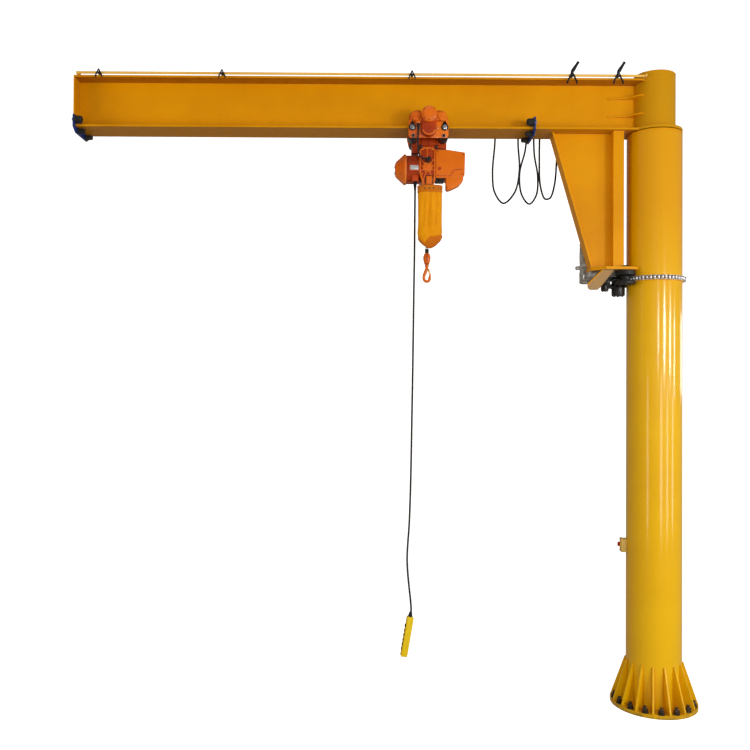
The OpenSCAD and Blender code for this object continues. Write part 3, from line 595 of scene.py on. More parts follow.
s = Shape()
for k in range(50):
    a = math.radians(7.2 * k)
    p0, p1 = polar(CHAIN_R, a, 0), polar(CHAIN_R, a + math.radians(7.2), 0)
    t = (p1 - p0).normalized()
    lo, hi = ((11.2, 14.4) if k % 2 else (7.9, 11.1))
    for q in (-1, 1):
        z = sorted((CHAIN_Z + q * lo, CHAIN_Z + q * hi))
        chain_plate(s, (p0 + p1) / 2, t, z[0], z[1], 0 if k % 2 else 1, 12.4 if k % 2 else 11.4)
    s.lathe([(0, -15.6), (3.4, -15.6), (4, -15), (4, 15), (3.4, 15.6), (0, 15.6)], V((p0.x, p0.y, CHAIN_Z)), (0, 0, 1), 12, 0)
    s.lathe([(0, -7.7), (7.4, -7.7), (8, -7), (8, 7), (7.4, 7.7), (0, 7.7)], V((p0.x, p0.y, CHAIN_Z)), (0, 0, 1), 16, 0)
piece("slew_roller_chain", s, [BRIGHT, DARK_STEEL], "column", 30, ["slew_chain"])

# ------------------------------------------------------------------ isolator on the column
R8 = Matrix.Rotation(math.radians(-8), 4, "Z")
s = Shape()
s.rbox((-212, -33, 1058), (-186, 33, 1150), 3, 2, 0, R8)
s.rbox((-228.5, -36, 1056), (-211, 36, 1152), 5, 3, 0, R8)
s.rbox((-230, -24, 1084), (-227, 24, 1136), 1.2, 2, 1, R8)
n0 = len(s.v)
for y in (-29, 29):
    for z in (1064, 1144):
        s.lathe([(4.2, 0), (4.2, 1.4), (3.4, 2.2), (0, 2.2)], (-228.3, y, z), (-1, 0, 0), 14, 2)
s.lathe([(20, 0), (20, 2.5), (18.5, 3.4), (0, 3.4)], (-229.2, 0, 1110), (-1, 0, 0), 32, 1)
s.move(R8, n0)
piece("isolator_case", s, [CREAM, PENDANT, ZINC], "column", 38, ["isolator_box"])
s = Shape()
s.lathe([(0, 0), (15, 0), (16, 1.2), (15.2, 7), (13, 8.5), (0, 9)], (-233.2, 0, 1110), (-1, 0, 0), 36)
s.prism([(-5, -15), (5, -15), (4, 0), (5, 15), (-5, 15), (-4, 0)], "yz", -248.5, -240, 2.0, 2, 0, mat=Matrix.Translation((0, 0, 1110)))
s.cyl((-234, 0, 1110), (-212, 0, 1110), 5.9, 16)
s.move(R8)
piece("isolator_handle", s, [RED], "isolator_knob", 38, ["isolator_knob"])

# ------------------------------------------------------------------ jib: welds, buffers, wire, hangers
BEAM_Z, BEAM_TOP = 4012.0, 4369.0


def slant_x(z):
    return -735.6 + (BEAM_Z - z) * 0.2904


s = Shape()
for q in (-1, 1):
    for z in (4027.5, 4353.5):
        s.bead([(-4060, q * 5, z), (-150, q * 5, z)], 4.2, 22, 0, z + q, n=6)
    s.bead([(-4062, q * 5.5, 4030), (-4062, q * 5.5, 4350)], 4.4, 8, 0, q * 2.2, n=6)
    s.bead([(slant_x(3060) + 13.5, q * 7.5, 3060), (slant_x(4008) + 13.5, q * 7.5, 4008)], 4.4, 8, 0, q * 4.1, n=6)
    s.bead([(-316, q * 7.5, 3060), (-316, q * 7.5, 4008)], 4.2, 8, 0, q * 5.2, n=6)
    s.bead([(slant_x(3057) + 14, q * 7.5, 3058), (-318, q * 7.5, 3058)], 4.4, 8, 0, q * 6.2, n=6)
    s.bead([(slant_x(4010) + 14, q * 7.5, 4010), (-318, q * 7.5, 4010)], 4.2, 8, 0, q * 6.9, n=6)
    s.bead([(-315, q * 84, 4010), (-240, q * 84, 4010)], 4.2, 8, 0, q * 1.9, n=6)
    s.bead([(-315, q * 84, 3058), (-240, q * 84, 3058)], 4.6, 8, 0, q * 2.9, n=6)
    for z in (4129, 4141, 4257, 4269):
        s.bead([(-330, q * 5.5, z), (-150, q * 5.5, z)], 3.4, 8, 0, z * 0.3 + q, n=6)
        s.bead([polar(143, math.pi - q * b, z) for b in (0.1, 0.25, 0.4, 0.6, 0.8)], 3.6, 8, 0, z * 0.7 + q, n=6)
s.bead([(slant_x(3058) - 1, -46, 3058), (slant_x(3058) - 1, 46, 3058)], 4.6, 8, 0, 9.1, n=6)
s.bead([(slant_x(4010) - 1, -48, 4010), (slant_x(4010) - 1, 48, 4010)], 4.2, 8, 0, 9.4, n=6)
s.bead([(-239, -80, 3058), (-239, 80, 3058)], 4.4, 8, 0, 9.6, n=6)
s.bead(ring(143, 4032, 120), 4.4, 8, 0, 7.7, True, 6)
s.bead(ring(140.5, 4421.2, 120), 3.0, 8, 0, 8.7, True, 6)
piece("jib_welds", s, [WELD], "jib", 60)

s = Shape()
for q in (-1, 1):
    for y, z, k in ((76, 3990, 0.68), (133, 4055, 1.0)):
        for x, d in ((-4052, 1), (-883, -1)):
            o, ax = V((x, q * y, z)), V((d, 0, 0))
            s.lathe([(r * k, h) for r, h in ((0, 0), (27, 0), (28, 1.5), (28, 7), (25.5, 9), (24.5, 30), (23, 41), (18, 47), (9, 49.6), (0, 50))], o, ax, 40, 0)
            s.bolt(o - ax * 12, -ax, 19 if k == 1 else 14, 8, 1)
piece("stop_buffer_set", s, [RUBBER, ZINC], "jib", 38, ["stop_buffers"])

s = Shape()
half = [(156, 4086), (156, 4002), (104, 3969)]
outline = half + [(-y, z) for y, z in half[::-1]] + [(-4, 4086), (-4, 4026), (-119, 4026), (-119, 4012), (119, 4012), (119, 4026), (4, 4026), (4, 4086)]
for x in (-4064, -883):
    s.prism(outline, "yz", x, x + 12, 1.2, 2)
piece("stop_plate_pair", s, [BLUE], "jib", 40, ["stop_plates"])

WIRE_Z = 4381.0
s = Shape()
for x, k in ((-3890, 1), (-3040, 1), (-1727, 1), (-620, 1.45), (-300, 1.45)):
    s.rbox((x - 8, -150, BEAM_TOP), (x + 8, -90, BEAM_TOP + 11), 1.6, 2)
    top = BEAM_TOP + (24 if k > 1 else 15)
    s.prism([(-150, BEAM_TOP + 8), (-112, BEAM_TOP + 8), (-112, top - 4), (-120, top), (-142, top), (-150, top - 4)], "yz", x - 6, x + 6, 1.4, 2)
    for a in (24, -24):
        d = V((-math.sin(math.radians(a)), 0, -math.cos(math.radians(a))))
        o = V((x, -146, WIRE_Z + 21))
        e = o + d * (60 * k)
        s.tube(smooth_path([o, o + d * (30 * k), e - d * 8, e + V((-d.x * 9, 2, -3))], 9), 4.6 if k == 1 else 6.2, 10)
    if k > 1:
        a = math.radians(212)
        d = V((-math.sin(a), 0, -math.cos(a)))
        o = V((x, -146, WIRE_Z + 21))
        s.tube([o - d * 10, o + d * 8, o + d * 30, o + d * 60, o + d * 78], 9, 14, 0, False, [8, 13, 12, 9.5, 7.5])
        s.lathe([(9.4, 0), (10.4, 1.5), (10.4, 8), (9, 9.5), (0, 9.5)], o + d * 70, d, 20)
    s.bolt((x, -150, BEAM_TOP + (15 if k > 1 else 7)), (0, -1, 0), 13 if k > 1 else 9, 5, 1, False)
    s.bolt((x, -101, BEAM_TOP + 11), (0, 0, 1), 11, 5, 1)
piece("wire_clip_set", s, [BLACK_PLASTIC, NUT], "jib", 38, ["wire_clips"])

s = Shape()
s.lathe([(0, 0), (7, 0), (8.5, 1.5), (8.5, 3938), (7, 3939.5), (0, 3940)], (-4048, -131, WIRE_Z), (1, 0, 0), 28)
s.rbox((-4047, -140, BEAM_TOP - 1), (-4022, -112, BEAM_TOP + 8), 2, 2)
s.bead([(-4047, -140.5, BEAM_TOP + 1), (-4022, -140.5, BEAM_TOP + 1)], 2.6, 8, 0, 3.7, n=6)
s.prism([(-150, WIRE_Z - 9), (-95, WIRE_Z - 9), (-95, WIRE_Z + 9), (-150, WIRE_Z + 9)], "yz", -112, -100, 1.5, 2)
piece("guide_wire_line", s, [WIRE], "jib", 40, ["guide_wire"])

s = Shape()
for x in (-250, -600, -798, -900, -1124):
    s.rbox((x - 14, 90, BEAM_TOP), (x + 14, 198, BEAM_TOP + 11), 2.4, 2)
    s.rbox((x - 14, 190, BEAM_TOP - 30), (x + 14, 198, BEAM_TOP + 9), 2.4, 2)
    s.tube([V((x + 8 * math.cos(b), FY, 4362 + 8 * math.sin(b))) for b in np.linspace(0, 2 * math.pi, 20, endpoint=False)], 1.2, 8, 0, True)
    s.lathe([(9.2, -9), (9.6, -8), (9.6, 8), (9.2, 9)], (x, FY, 4362), (1, 0, 0), 24)
    s.bolt((x, 104, BEAM_TOP + 11), (0, 0, 1), 13, 6, 1)
piece("cable_hanger_set", s, [BLACK_PLASTIC, ZINC], "jib", 38, ["cable_hangers"])

s = Shape()
s.prism([(-93, 107), (-60, 131), (-7, 143), (-7, 196), (-93, 196)], "xy", 4243, 4357, 3, 2)
s.rbox((-95, 194, 4240), (-5, 210, 4360), 5, 3)
for x in (-87, -13):
    for z in (4249, 4351):
        s.lathe([(4.6, 0), (4.6, 1.6), (3.8, 2.4), (0, 2.4)], (x, 209.6, z), (0, 1, 0), 16, 1)
s.lathe([(13, 0), (13, 5), (11.5, 6), (11.5, 14), (10, 17), (8, 19)], (-92, FY, 4300), (-1, 0, 0), 24, 2)
piece("junction_case", s, [GREY, ZINC, BLACK_PLASTIC], "jib", 38, ["head_junction_box"])

# ------------------------------------------------------------------ slewing drive
MX, MY = -458.0, 118.0
s = Shape()
s.lathe([(0, 0), (39, 0), (40, 1), (40, 9), (36, 11), (36, 112), (39, 114), (39.5, 120), (38.5, 148), (40, 150), (40, 158), (37, 165), (34, 168),
         (33.5, 172), (30, 176.5), (20, 178), (0, 178)], (MX, MY, 3095), (0, 0, 1), 56)
for k in range(30):
    a = 2 * math.pi * k / 30
    if abs(math.sin(a) - 1) > 0.15:
        s.prism([(35, 3108), (40, 3109), (40, 3205), (35, 3206)], "xz", -1.1, 1.1, 0.5, 1, 0,
                mat=Matrix.Translation((MX, MY, 0)) @ Matrix.Rotation(a, 4, "Z"))
for k in range(10):
    a = 2 * math.pi * k / 10
    s.rbox((25, -1.8, 177), (32, 1.8, 178.4), 0.5, 1, 1, Matrix.Translation((MX, MY, 3095)) @ Matrix.Rotation(a, 4, "Z"))
s.rbox((MX - 22, MY + 30, 3143), (MX + 22, MY + 64, 3201), 3, 2)
s.rbox((MX - 24, MY + 62, 3140), (MX + 24, MY + 74, 3204), 4, 3)
for x in (-19, 19):
    for z in (3146, 3198):
        s.lathe([(3, 0), (3, 1.2), (0, 1.8)], (MX + x, MY + 73.8, z), (0, 1, 0), 12, 1)
s.lathe([(9, 0), (9, 6), (7.5, 7.5), (7.5, 12), (6, 14)], (MX + 22, MY + 50, 3160), (1, 0, 0), 20, 1)
for k in range(4):
    a = math.radians(45 + 90 * k)
    s.bolt((MX + 33 * math.cos(a), MY + 33 * math.sin(a), 3102), (0, 0, 1), 10, 5, 2)
piece("slew_motor_case", s, [GREY, BLACK_PLASTIC, ZINC], "jib", 34, ["slew_motor"])

s = Shape()
s.lathe([(0, 0), (30, 0), (33, 2), (41, 5), (42, 9), (42, 17), (39.5, 19), (39, 60), (41.5, 64), (42, 68), (42, 80), (39, 84), (38.5, 118), (42, 121), (42, 130)],
        (MX, MY, 2965), (0, 0, 1), 56)
for k in range(8):
    a = math.radians(22.5 + 45 * k)
    s.prism([(36, 2986), (41.5, 2988), (41.5, 3028), (36, 3030)], "xz", -2.2, 2.2, 1, 1, 0, mat=Matrix.Translation((MX, MY, 0)) @ Matrix.Rotation(a, 4, "Z"))
    s.bolt((MX + 36 * math.cos(a), MY + 36 * math.sin(a), 3045), (0, 0, 1), 8, 3.4, 2, False)
s.rbox((MX - 68, MY - 18, 3067), (MX - 26, MY + 18, 3093), 6, 3)
s.lathe([(11, 0), (11, 3), (8, 4), (0, 4)], (MX - 67, MY, 3080), (-1, 0, 0), 20, 2)
s.rbox((MX - 36, 64, 2984), (MX + 36, MY, 3084), 6, 3)
s.prism([(-470, -30), (-470, 60), (-470, 120), (-330, 120), (-330, 28), (-222, 28), (-222, 21), (-236, 16), (-240, 0), (-236, -16), (-222, -21),
         (-222, -28), (-330, -28), (-336, -30)], "xy", 2999.5, 3035.5, 3, 2)
for x, y in ((-456, -16), (-420, -16), (-380, -16), (-346, 106), (-400, 106)):
    s.bolt((x, y, 2999.5), (0, 0, -1), 15, 7, 2)
s.rbox((-350, -24, 2932), (-316, 24, 3001), 5, 3, 1)
s.rbox((-334, -27, 2996), (-222, 27, 3001), 2, 2, 1)
piece("slew_gear_case", s, [GREY, BLACK, ZINC], "jib", 34, ["slew_gearbox"])
s = Shape()
s.lathe([(0, 0), (22, 0), (26, 3), (27, 8), (27, 44), (25, 46), (25, 50), (27, 52), (27, 58), (24, 62), (0, 62)], (-350, 0, 2900), (0, 0, 1), 44)
for k in range(6):
    a = math.radians(60 * k)
    s.bolt((-350 + 18 * math.cos(a), 18 * math.sin(a), 2901), (0, 0, -1), 7, 3, 1, False)
piece("slew_gear_hub", s, [BLACK, NUT], "jib", 34)

RX, RY, RR = -236.151, 105.141, 69.7


def roller(side, name, body):
    o = V((RX, side * RY, 0))
    s = Shape()
    s.lathe([(18, 2937), (52, 2937), (54, 2936), (66, 2936), (RR, 2939), (RR, 2955), (67, 2958), (52, 2958), (44, 2962), (34, 2966), (34, 2990), (44, 2994),
             (58, 2998), (66, 2998), (RR, 3001), (RR, 3027), (66, 3030), (30, 3030), (28, 3033), (18, 3033), (15.9, 3031), (15.9, 3066), (14, 3070), (0, 3070)],
            o, (0, 0, 1), 72)
    s.lathe([(0, 2934), (16, 2934), (18, 2936), (18, 2938), (0, 2938)], o, (0, 0, 1), 32, 1)
    for k in range(6):
        a = math.radians(60 * k + 20)
        s.bolt(o + V((38 * math.cos(a), 38 * math.sin(a), 2937)), (0, 0, -1), 11, 4.5, 1, False)
    s.hexa(o + V((0, 0, 3057.2)), (0, 0, 1), 34, 10.5, 1, 0.4)
    piece(name, s, [BLACK, NUT], body, 30, [body])


roller(-1, "guide_roller_near", "roller_near")
roller(1, "guide_roller_far", "roller_far")

SX = -254.654
s = Shape()
teeth = []
for k in range(13):
    c = 2 * math.pi * (k + 0.5) / 13
    for da, r in ((-0.215, 44.6), (-0.165, 45.4), (-0.125, 49.0), (-0.085, 54.5), (-0.045, 58.2), (0.045, 58.2), (0.085, 54.5), (0.125, 49.0), (0.165, 45.4), (0.215, 44.6)):
        teeth.append((SX + r * math.cos(c + da), r * math.sin(c + da)))
s.prism(teeth, "xy", CHAIN_Z - 7, CHAIN_Z + 7, 1.2, 2, 1, rim_only=True)
s.lathe([(0, 0), (40, 0), (45, 3), (46, 6), (46, 56), (43, 61), (24, 62), (21, 63), (21, 104), (19.9, 105), (19.9, 186.5), (0, 186.5)], (SX, 0, 2866), (0, 0, 1), 56)
for k in range(6):
    a = math.radians(60 * k + 15)
    s.bolt((SX + 33 * math.cos(a), 33 * math.sin(a), 2866.5), (0, 0, -1), 11, 4.4, 2, False)
piece("chain_sprocket", s, [BLACK, DARK_STEEL, NUT], "drive_sprocket", 30, ["drive_sprocket"])

# ------------------------------------------------------------------ trolley
TX = -1612.0


def arc(cx, cz, r, a0, a1, n=10):
    return [(cx + r * math.cos(math.radians(a0 + (a1 - a0) * i / n)), cz + r * math.sin(math.radians(a0 + (a1 - a0) * i / n))) for i in range(n + 1)]


s = Shape()
outline = [(TX - 128, 3937), (TX + 128, 3937), (TX + 138, 3950), (TX + 138, 4048)] + arc(TX + 90, 4078, 40, -15, 128) + [(TX + 52, 4098), (TX - 52, 4098)] \
    + arc(TX - 90, 4078, 40, 52, 195) + [(TX - 138, 4048), (TX - 138, 3950)]
outline_far = [(TX - 112, 3937), (TX + 112, 3937), (TX + 124, 3950), (TX + 138, 4012)] + outline[4:-2] + [(TX - 138, 4012), (TX - 124, 3950)]
for q in (-1, 1):
    s.prism(outline if q < 0 else outline_far, "xz", *sorted((q * 137, q * 149)), 2.2, 2)
    for sx in (-1, 1):
        s.prism(arc(TX + sx * 112, 4010, 25, 165, 375, 14) + arc(TX + sx * 112, 4046, 7, 20, 160, 6), "xz", *sorted((q * 148.5, q * 155)), 1.5, 2, 1)
        s.bolt((TX + sx * 112, q * 155, 4010), (0, q, 0), 19, 9, 2)
        s.hexa((TX + sx * 106, q * 149.2, 3950), (0, q, 0), 24, 8.6, 2, 0.2)
    s.bolt((TX + 62, q * 149, 4003), (0, q, 0), 10, 4, 2, False)
    s.bolt((TX - 62, q * 149, 4003), (0, q, 0), 10, 4, 2, False)
for sx in (-1, 1):
    s.lathe([(30, 0), (30, 3), (27, 6), (20, 7), (20, 12), (17, 14), (0, 14)], (TX + sx * 78, 149, 4076), (0, 1, 0), 40, 1)
    s.hexa((TX + sx * 78, 163, 4076), (0, 1, 0), 24, 11, 2, 0.5)
piece("trolley_cheeks", s, [ORANGE_CAST, BLACK, ZINC], "trolley", 34, ["trolley_side_plates"])

s = Shape()
MZ = 4080.0
s.lathe([(54, 0), (54, 10), (51, 12), (51, 20), (54, 22), (54, 30), (51.5, 32), (51, 62), (53, 64), (54, 68), (54, 74), (51, 77), (46.5, 78), (45.5, 82), (43.5, 87),
         (38, 90), (30, 91), (0, 91)], (TX, -149, MZ), (0, -1, 0), 64)
s.tube([V((TX + 34 * math.cos(b), -240, MZ + 34 * math.sin(b))) for b in np.linspace(0, 2 * math.pi, 48, endpoint=False)], 1.5, 8, 0, True)
for k in range(4):
    a = math.radians(45 + 90 * k)
    s.bolt((TX + 48.5 * math.cos(a), -226.5, MZ + 48.5 * math.sin(a)), (0, -1, 0), 8, 3, 3, False)
# The lower cover and the block between the covers are in the dark red: painted shade for the shaded band under the
# motor dome.
s.lathe([(52, 0), (52, 8), (49, 10), (49, 34), (51, 36), (52, 40), (50, 47), (44, 52), (34, 53), (0, 53)], (TX, -149, 3990), (0, -1, 0), 60, 3)
s.tube([V((TX + 44 * math.cos(b), -198.5, 3990 + 44 * math.sin(b))) for b in np.linspace(math.radians(200), math.radians(340), 30)], 6.2, 10, 0)
s.rbox((TX - 52, -186, 3992), (TX + 52, -148, 4078), 8, 3, 3)
for sx in (-1, 1):
    s.lathe([(34, 0), (34, 14), (31, 17), (30, 30), (33, 33), (33, 36), (29, 40), (14, 41), (0, 41)], (TX + sx * 90, -149, 4078), (0, -1, 0), 48)
    s.lathe([(11, 0), (11, 2), (9, 3.4), (0, 3.4)], (TX + sx * 90, -190, 4078), (0, -1, 0), 28)
    for k in range(3):
        a = math.radians(90 + 120 * k)
        s.bolt((TX + sx * 90 + 24 * math.cos(a), -188.4, 4078 + 24 * math.sin(a)), (0, -1, 0), 7, 2.8, 3, False)
    s.prism([(TX + sx * 84, 4056), (TX + sx * 30, 4040), (TX + sx * 30, 4112), (TX + sx * 84, 4100)], "xz", -181, -150, 5, 3)
    for z in (4062, 4094):
        s.prism([(TX + sx * 90, z - 3), (TX + sx * 50, z - 3), (TX + sx * 50, z + 3), (TX + sx * 90, z + 3)], "xz", -188, -178, 2, 2)
s.rbox((-1700, -176, 4030), (-1668, -148, 4060), 4, 2)
s.lathe([(11, 0), (11, 7), (9.5, 8.5), (9.5, 18), (7.4, 22), (6.4, 24)], (-1684, -164, 4032), (0, 0, -1), 24, 1)
piece("trolley_drive", s, [ORANGE_CAST, BLACK_PLASTIC, ZINC, RED_PAINT_AND_SHADE], "trolley", 34, ["trolley_motor"])

s = Shape()
for y in (-60, 60):
    for x in (-1690, -1650, -1601, -1552, -1512):
        s.prism([(x - 4, 3893), (x + 4, 3893), (x + 3, 3968), (x - 3, 3968)], "xz", *sorted((y * 0.98, y * 1.1)), 2, 2)
s.prism([(-1716, 3891), (-1486, 3891), (-1500, 3908), (-1702, 3908)], "xz", -70, 70, 4, 3)
for x in (-1660, -1552):
    for q in (-1, 1):
        s.bolt((x, q * 70, 3900), (0, q, 0), 13, 6, 1)
piece("suspension_ribs", s, [RED_PAINT_AND_SHADE, NUT], "trolley", 34)

# ------------------------------------------------------------------ hoist
s = Shape()
g = [(-1669, 3700), (-1642, 3613), (-1576, 3613), (-1562, 3650), (-1562, 3870), (-1580, 3887), (-1650, 3887), (-1669, 3868)]
# The gear case body between the ribs is in the dark red and the ribs in orange: painted shade in the recesses.
s.prism(g, "xz", -95, 95, 6, 3, 4)
for q in (-1, 1):
    y0, y1 = sorted((q * 90, q * 107.5))
    gc = (-1614, 3748)
    rim_pts = [V((x + (gc[0] - x) * 0.06, 0, z + (gc[1] - z) * 0.06)) for x, z in g]
    for a, b in zip(rim_pts, rim_pts[1:] + rim_pts[:1]):
        d = (b - a).normalized() * 3
        nrm = V((-d.z, 0, d.x)) * 1.5
        s.prism([((a - d + nrm).x, (a - d + nrm).z), ((a - d - nrm).x, (a - d - nrm).z), ((b + d - nrm).x, (b + d - nrm).z), ((b + d + nrm).x, (b + d + nrm).z)],
                "xz", y0, y1 - 1 if q > 0 else y1, 2, 2)
    s.lathe([(36, 0), (36, 6), (32, 9), (31, 12), (27, 14), (24, 10), (12, 10), (10, 12), (0, 12)], (gc[0], q * 95, gc[1]), (0, q, 0), 48)
    for k in range(9):
        a = math.radians(40 * k + 12)
        c, sn = math.cos(a), math.sin(a)
        reach = min(46 / max(abs(c), 1e-3), (132 if sn > 0 else 124) / max(abs(sn), 1e-3))
        p0, p1 = V((gc[0] + 30 * c, 0, gc[1] + 30 * sn)), V((gc[0] + reach * c, 0, gc[1] + reach * sn))
        w = V((-sn, 0, c)) * 4.2
        w2 = w * 0.7
        s.prism([((p0 + w).x, (p0 + w).z), ((p0 - w).x, (p0 - w).z), ((p1 - w2).x, (p1 - w2).z), ((p1 + w2).x, (p1 + w2).z)], "xz", *sorted((q * 92, q * 106)), 2.2, 2)
    for x, z in ((-1657, 3700), (-1634, 3626), (-1582, 3626), (-1573, 3672), (-1573, 3800), (-1584, 3874), (-1646, 3874), (-1657, 3800)):
        s.lathe([(10, 0), (10, 9), (8.5, 11), (0, 11)], (x, q * 97, z), (0, q, 0), 24)
        s.bolt((x, q * 107, z), (0, q, 0), 10, 4.5, 4, False)
s.lathe([(14, 0), (14, 5), (12.5, 7), (12.5, 60), (15, 62), (15, 69)], (-1611, -177, 3788), (0, 1, 0), 32, 1)
s.lathe([(16, 0), (16, 6), (14, 8), (14, 30)], (-1611, -116, 3788), (0, 1, 0), 32, 1)
s.lathe([(9, 0), (9, 8), (7.6, 10), (7.6, 16), (6.2, 18)], (-1606, -164, 3788), (-1, 0, 0), 20, 1)
s.rbox((-1624, -116, 3624), (-1584, -96, 3682), 4, 3, 0)
s.rbox((-1628, -110, 3618), (-1580, -96, 3688), 3, 2, 3)
s.lathe([(30, 0), (30, 6), (27, 8), (26, 14), (15, 16), (13, 16)], (-1610, 0, 3618), (0, 0, -1), 40, 3)
for x in (-1652, -1578):
    s.rbox((x - 12, -30, 3880), (x + 12, 30, 3893), 3, 2)
piece("hoist_gear_case", s, [ORANGE_CAST, BLACK_PLASTIC, ZINC, BLACK, RED_PAINT_AND_SHADE], "trolley", 34, ["hoist_gearbox"])

s = Shape()
HZ = 3752.0
s.lathe([(100, 0), (100, 9), (96, 11), (92, 12), (92, 84), (97, 86), (100, 89), (100, 99), (96, 102), (0, 102)], (-1669, 0, HZ), (-1, 0, 0), 72, 0)
for k in range(44):
    a = 2 * math.pi * (k + 0.5) / 44
    if abs(math.degrees(math.atan2(math.sin(a - math.pi), math.cos(a - math.pi)))) < 19:
        continue
    mt = Matrix.Translation((0, 0, HZ)) @ Matrix.Rotation(a, 4, "X")
    s.prism([(-1755, 90), (-1681, 90), (-1681, 99), (-1755, 99)], "xz", -1.5, 1.5, 0.6, 1, 0, mat=mt @ Matrix.Rotation(math.radians(90), 4, "X") @ Matrix.Rotation(math.radians(-90), 4, "X"))


def oct_ring(r):
    return [V((0, r * math.cos(math.radians(22.5 + 45 * k)), r * math.sin(math.radians(22.5 + 45 * k)))) for k in range(8)]


bm = bmesh.new()
rows = []
for r, x in ((104, -1766), (109, -1769), (109, -1776), (104, -1779), (56, -1832), (51, -1836)):
    rows.append([bm.verts.new(p + V((x, 0, HZ))) for p in oct_ring(r)])
for A, B in zip(rows, rows[1:]):
    for k in range(8):
        bm.faces.new((A[k], A[(k + 1) % 8], B[(k + 1) % 8], B[k]))
bm.faces.new(rows[0][::-1])
bm.faces.new(rows[-1])
bmesh.ops.recalc_face_normals(bm, faces=bm.faces)
bmesh.ops.bevel(bm, geom=[e for e in bm.edges if abs(e.verts[0].co.x - e.verts[1].co.x) > 0.5], offset=3.5, segments=3, profile=0.5, affect="EDGES")
s._bm(bm, 1)
# The ring between the motor body and its end cap, in the paler orange of a painted highlight.
s.lathe([(103, 0), (105.5, 1.5), (105.5, 6), (103, 7.5), (98, 7.5)], (-1761, 0, HZ), (-1, 0, 0), 72, 3)
for k in range(4):
    a = math.radians(45 + 90 * k)
    s.bolt((-1835.5, 34 * math.cos(a), HZ + 34 * math.sin(a)), (-1, 0, 0), 10, 4, 2)
s.lathe([(30, 0), (30, 2), (26, 3.4), (0, 3.4)], (-1835.5, 0, HZ), (-1, 0, 0), 36, 1)
s.rbox((-1748, -98.5, 3716), (-1666, -60, 3776), 6, 3)
s.rbox((-1736, -100.4, 3729), (-1677, -97, 3760), 1.2, 2, 4)
for x in (-1731, -1682):
    for z in (3734, 3755):
        s.lathe([(2.4, 0), (2.2, 1.2), (0, 1.8)], (x, -100.3, z), (0, -1, 0), 10, 2)
s.rbox((-1722, -88, 3652), (-1676, -44, 3700), 6, 3)
s.lathe([(16, 0), (16, 6), (13, 8), (13, 14), (12, 16)], (-1699, -66, 3654), (0, 0, -1), 32, 5)
piece("hoist_motor_case", s, [RED_PAINT_AND_SHADE, ORANGE_CAST, ZINC, RING_HIGHLIGHT, BRIGHT, BLACK_PLASTIC], "trolley", 32, ["hoist_motor"])

s = Shape()
s.prism([(-1560, 3674), (-1376, 3674), (-1358, 3692), (-1355, 3844), (-1360, 3849), (-1478, 3867), (-1560, 3867)], "xz", -84, 60, 7, 3)
s.prism([(-1558, 3672), (-1374, 3672), (-1356, 3690), (-1352, 3846), (-1358, 3852), (-1478, 3870), (-1558, 3870)], "xz", -100, -80, 7, 4)
s.prism([(-1487, 3680), (-1487, 3594), (-1477, 3584), (-1446, 3594), (-1396, 3618), (-1366, 3654), (-1363, 3680)], "xz", -100.6, -42, 8, 4, 0)
s.tube([V(p) for p in ((-1545, -100, 3686), (-1452, -100, 3686), (-1432, -100, 3727), (-1372, -100, 3733))], 2.6, 8, 3)
s.prism([(-1552, 3668), (-1492, 3668), (-1492, 3677), (-1552, 3677)], "xz", -92, 56, 2, 2, 1)
for x, z in ((-1544, 3858), (-1544, 3690), (-1366, 3838), (-1370, 3700), (-1478, 3606)):
    s.lathe([(5.4, 0), (5.4, 2), (4.4, 3), (0, 3)], (x, -99.8, z), (0, -1, 0), 18, 3)
for z in (3700, 3730, 3760, 3790, 3820):
    s.prism([(-1545, z), (-1380, z), (-1380, z + 5), (-1545, z + 5)], "xz", 58, 63, 1.5, 2)
for y in (-74, -44, 30):
    s.lathe([(8, 0), (8, 5), (6.6, 6), (6.6, 9), (5, 10)], (-1420, y, 3674) if y > 0 else (-1530, y, 3670), (0, 0, -1), 20, 1)
s.lathe([(13, 0), (13, 2.2), (11.5, 3.4), (9, 3.4), (8, 1.6), (0, 1.6)], (-1531, -99.2, 3738), (0, -1, 0), 28, 3)
piece("control_case", s, [ORANGE, BLACK_PLASTIC, ZINC, RED_PAINT_AND_SHADE], "trolley", 36, ["hoist_control_box"])

# ------------------------------------------------------------------ chain bag
BCX, BCY = -1597.0, -97.5


def bag_half(z):
    """Half width, half depth and the centre's shift at the height z."""
    t = (3611 - z) / 432.0
    a = 86.0 - 2.0 * math.sin(math.pi * min(1, t / 0.75)) + 1.5 * t
    b = 50.0 - 5.0 * math.sin(math.pi * min(1, t / 0.55)) + 2.0 * t
    low = max(0.0, (3272 - z) / 93.0)
    if low > 0:
        k = max(0.0, 1 - min(1, low) ** 1.9) ** 0.72
        a, b = a * k, b * k
    return a, b, 2.0 * min(1, low) ** 2


def bag_fold(x):
    """Height of the folded corner's edge at the distance x from the bag's middle."""
    return float(np.interp(x, (-90, -34, -8, 6, 22, 60, 90), (3268, 3214, 3252, 3262, 3256, 3268, 3276)))


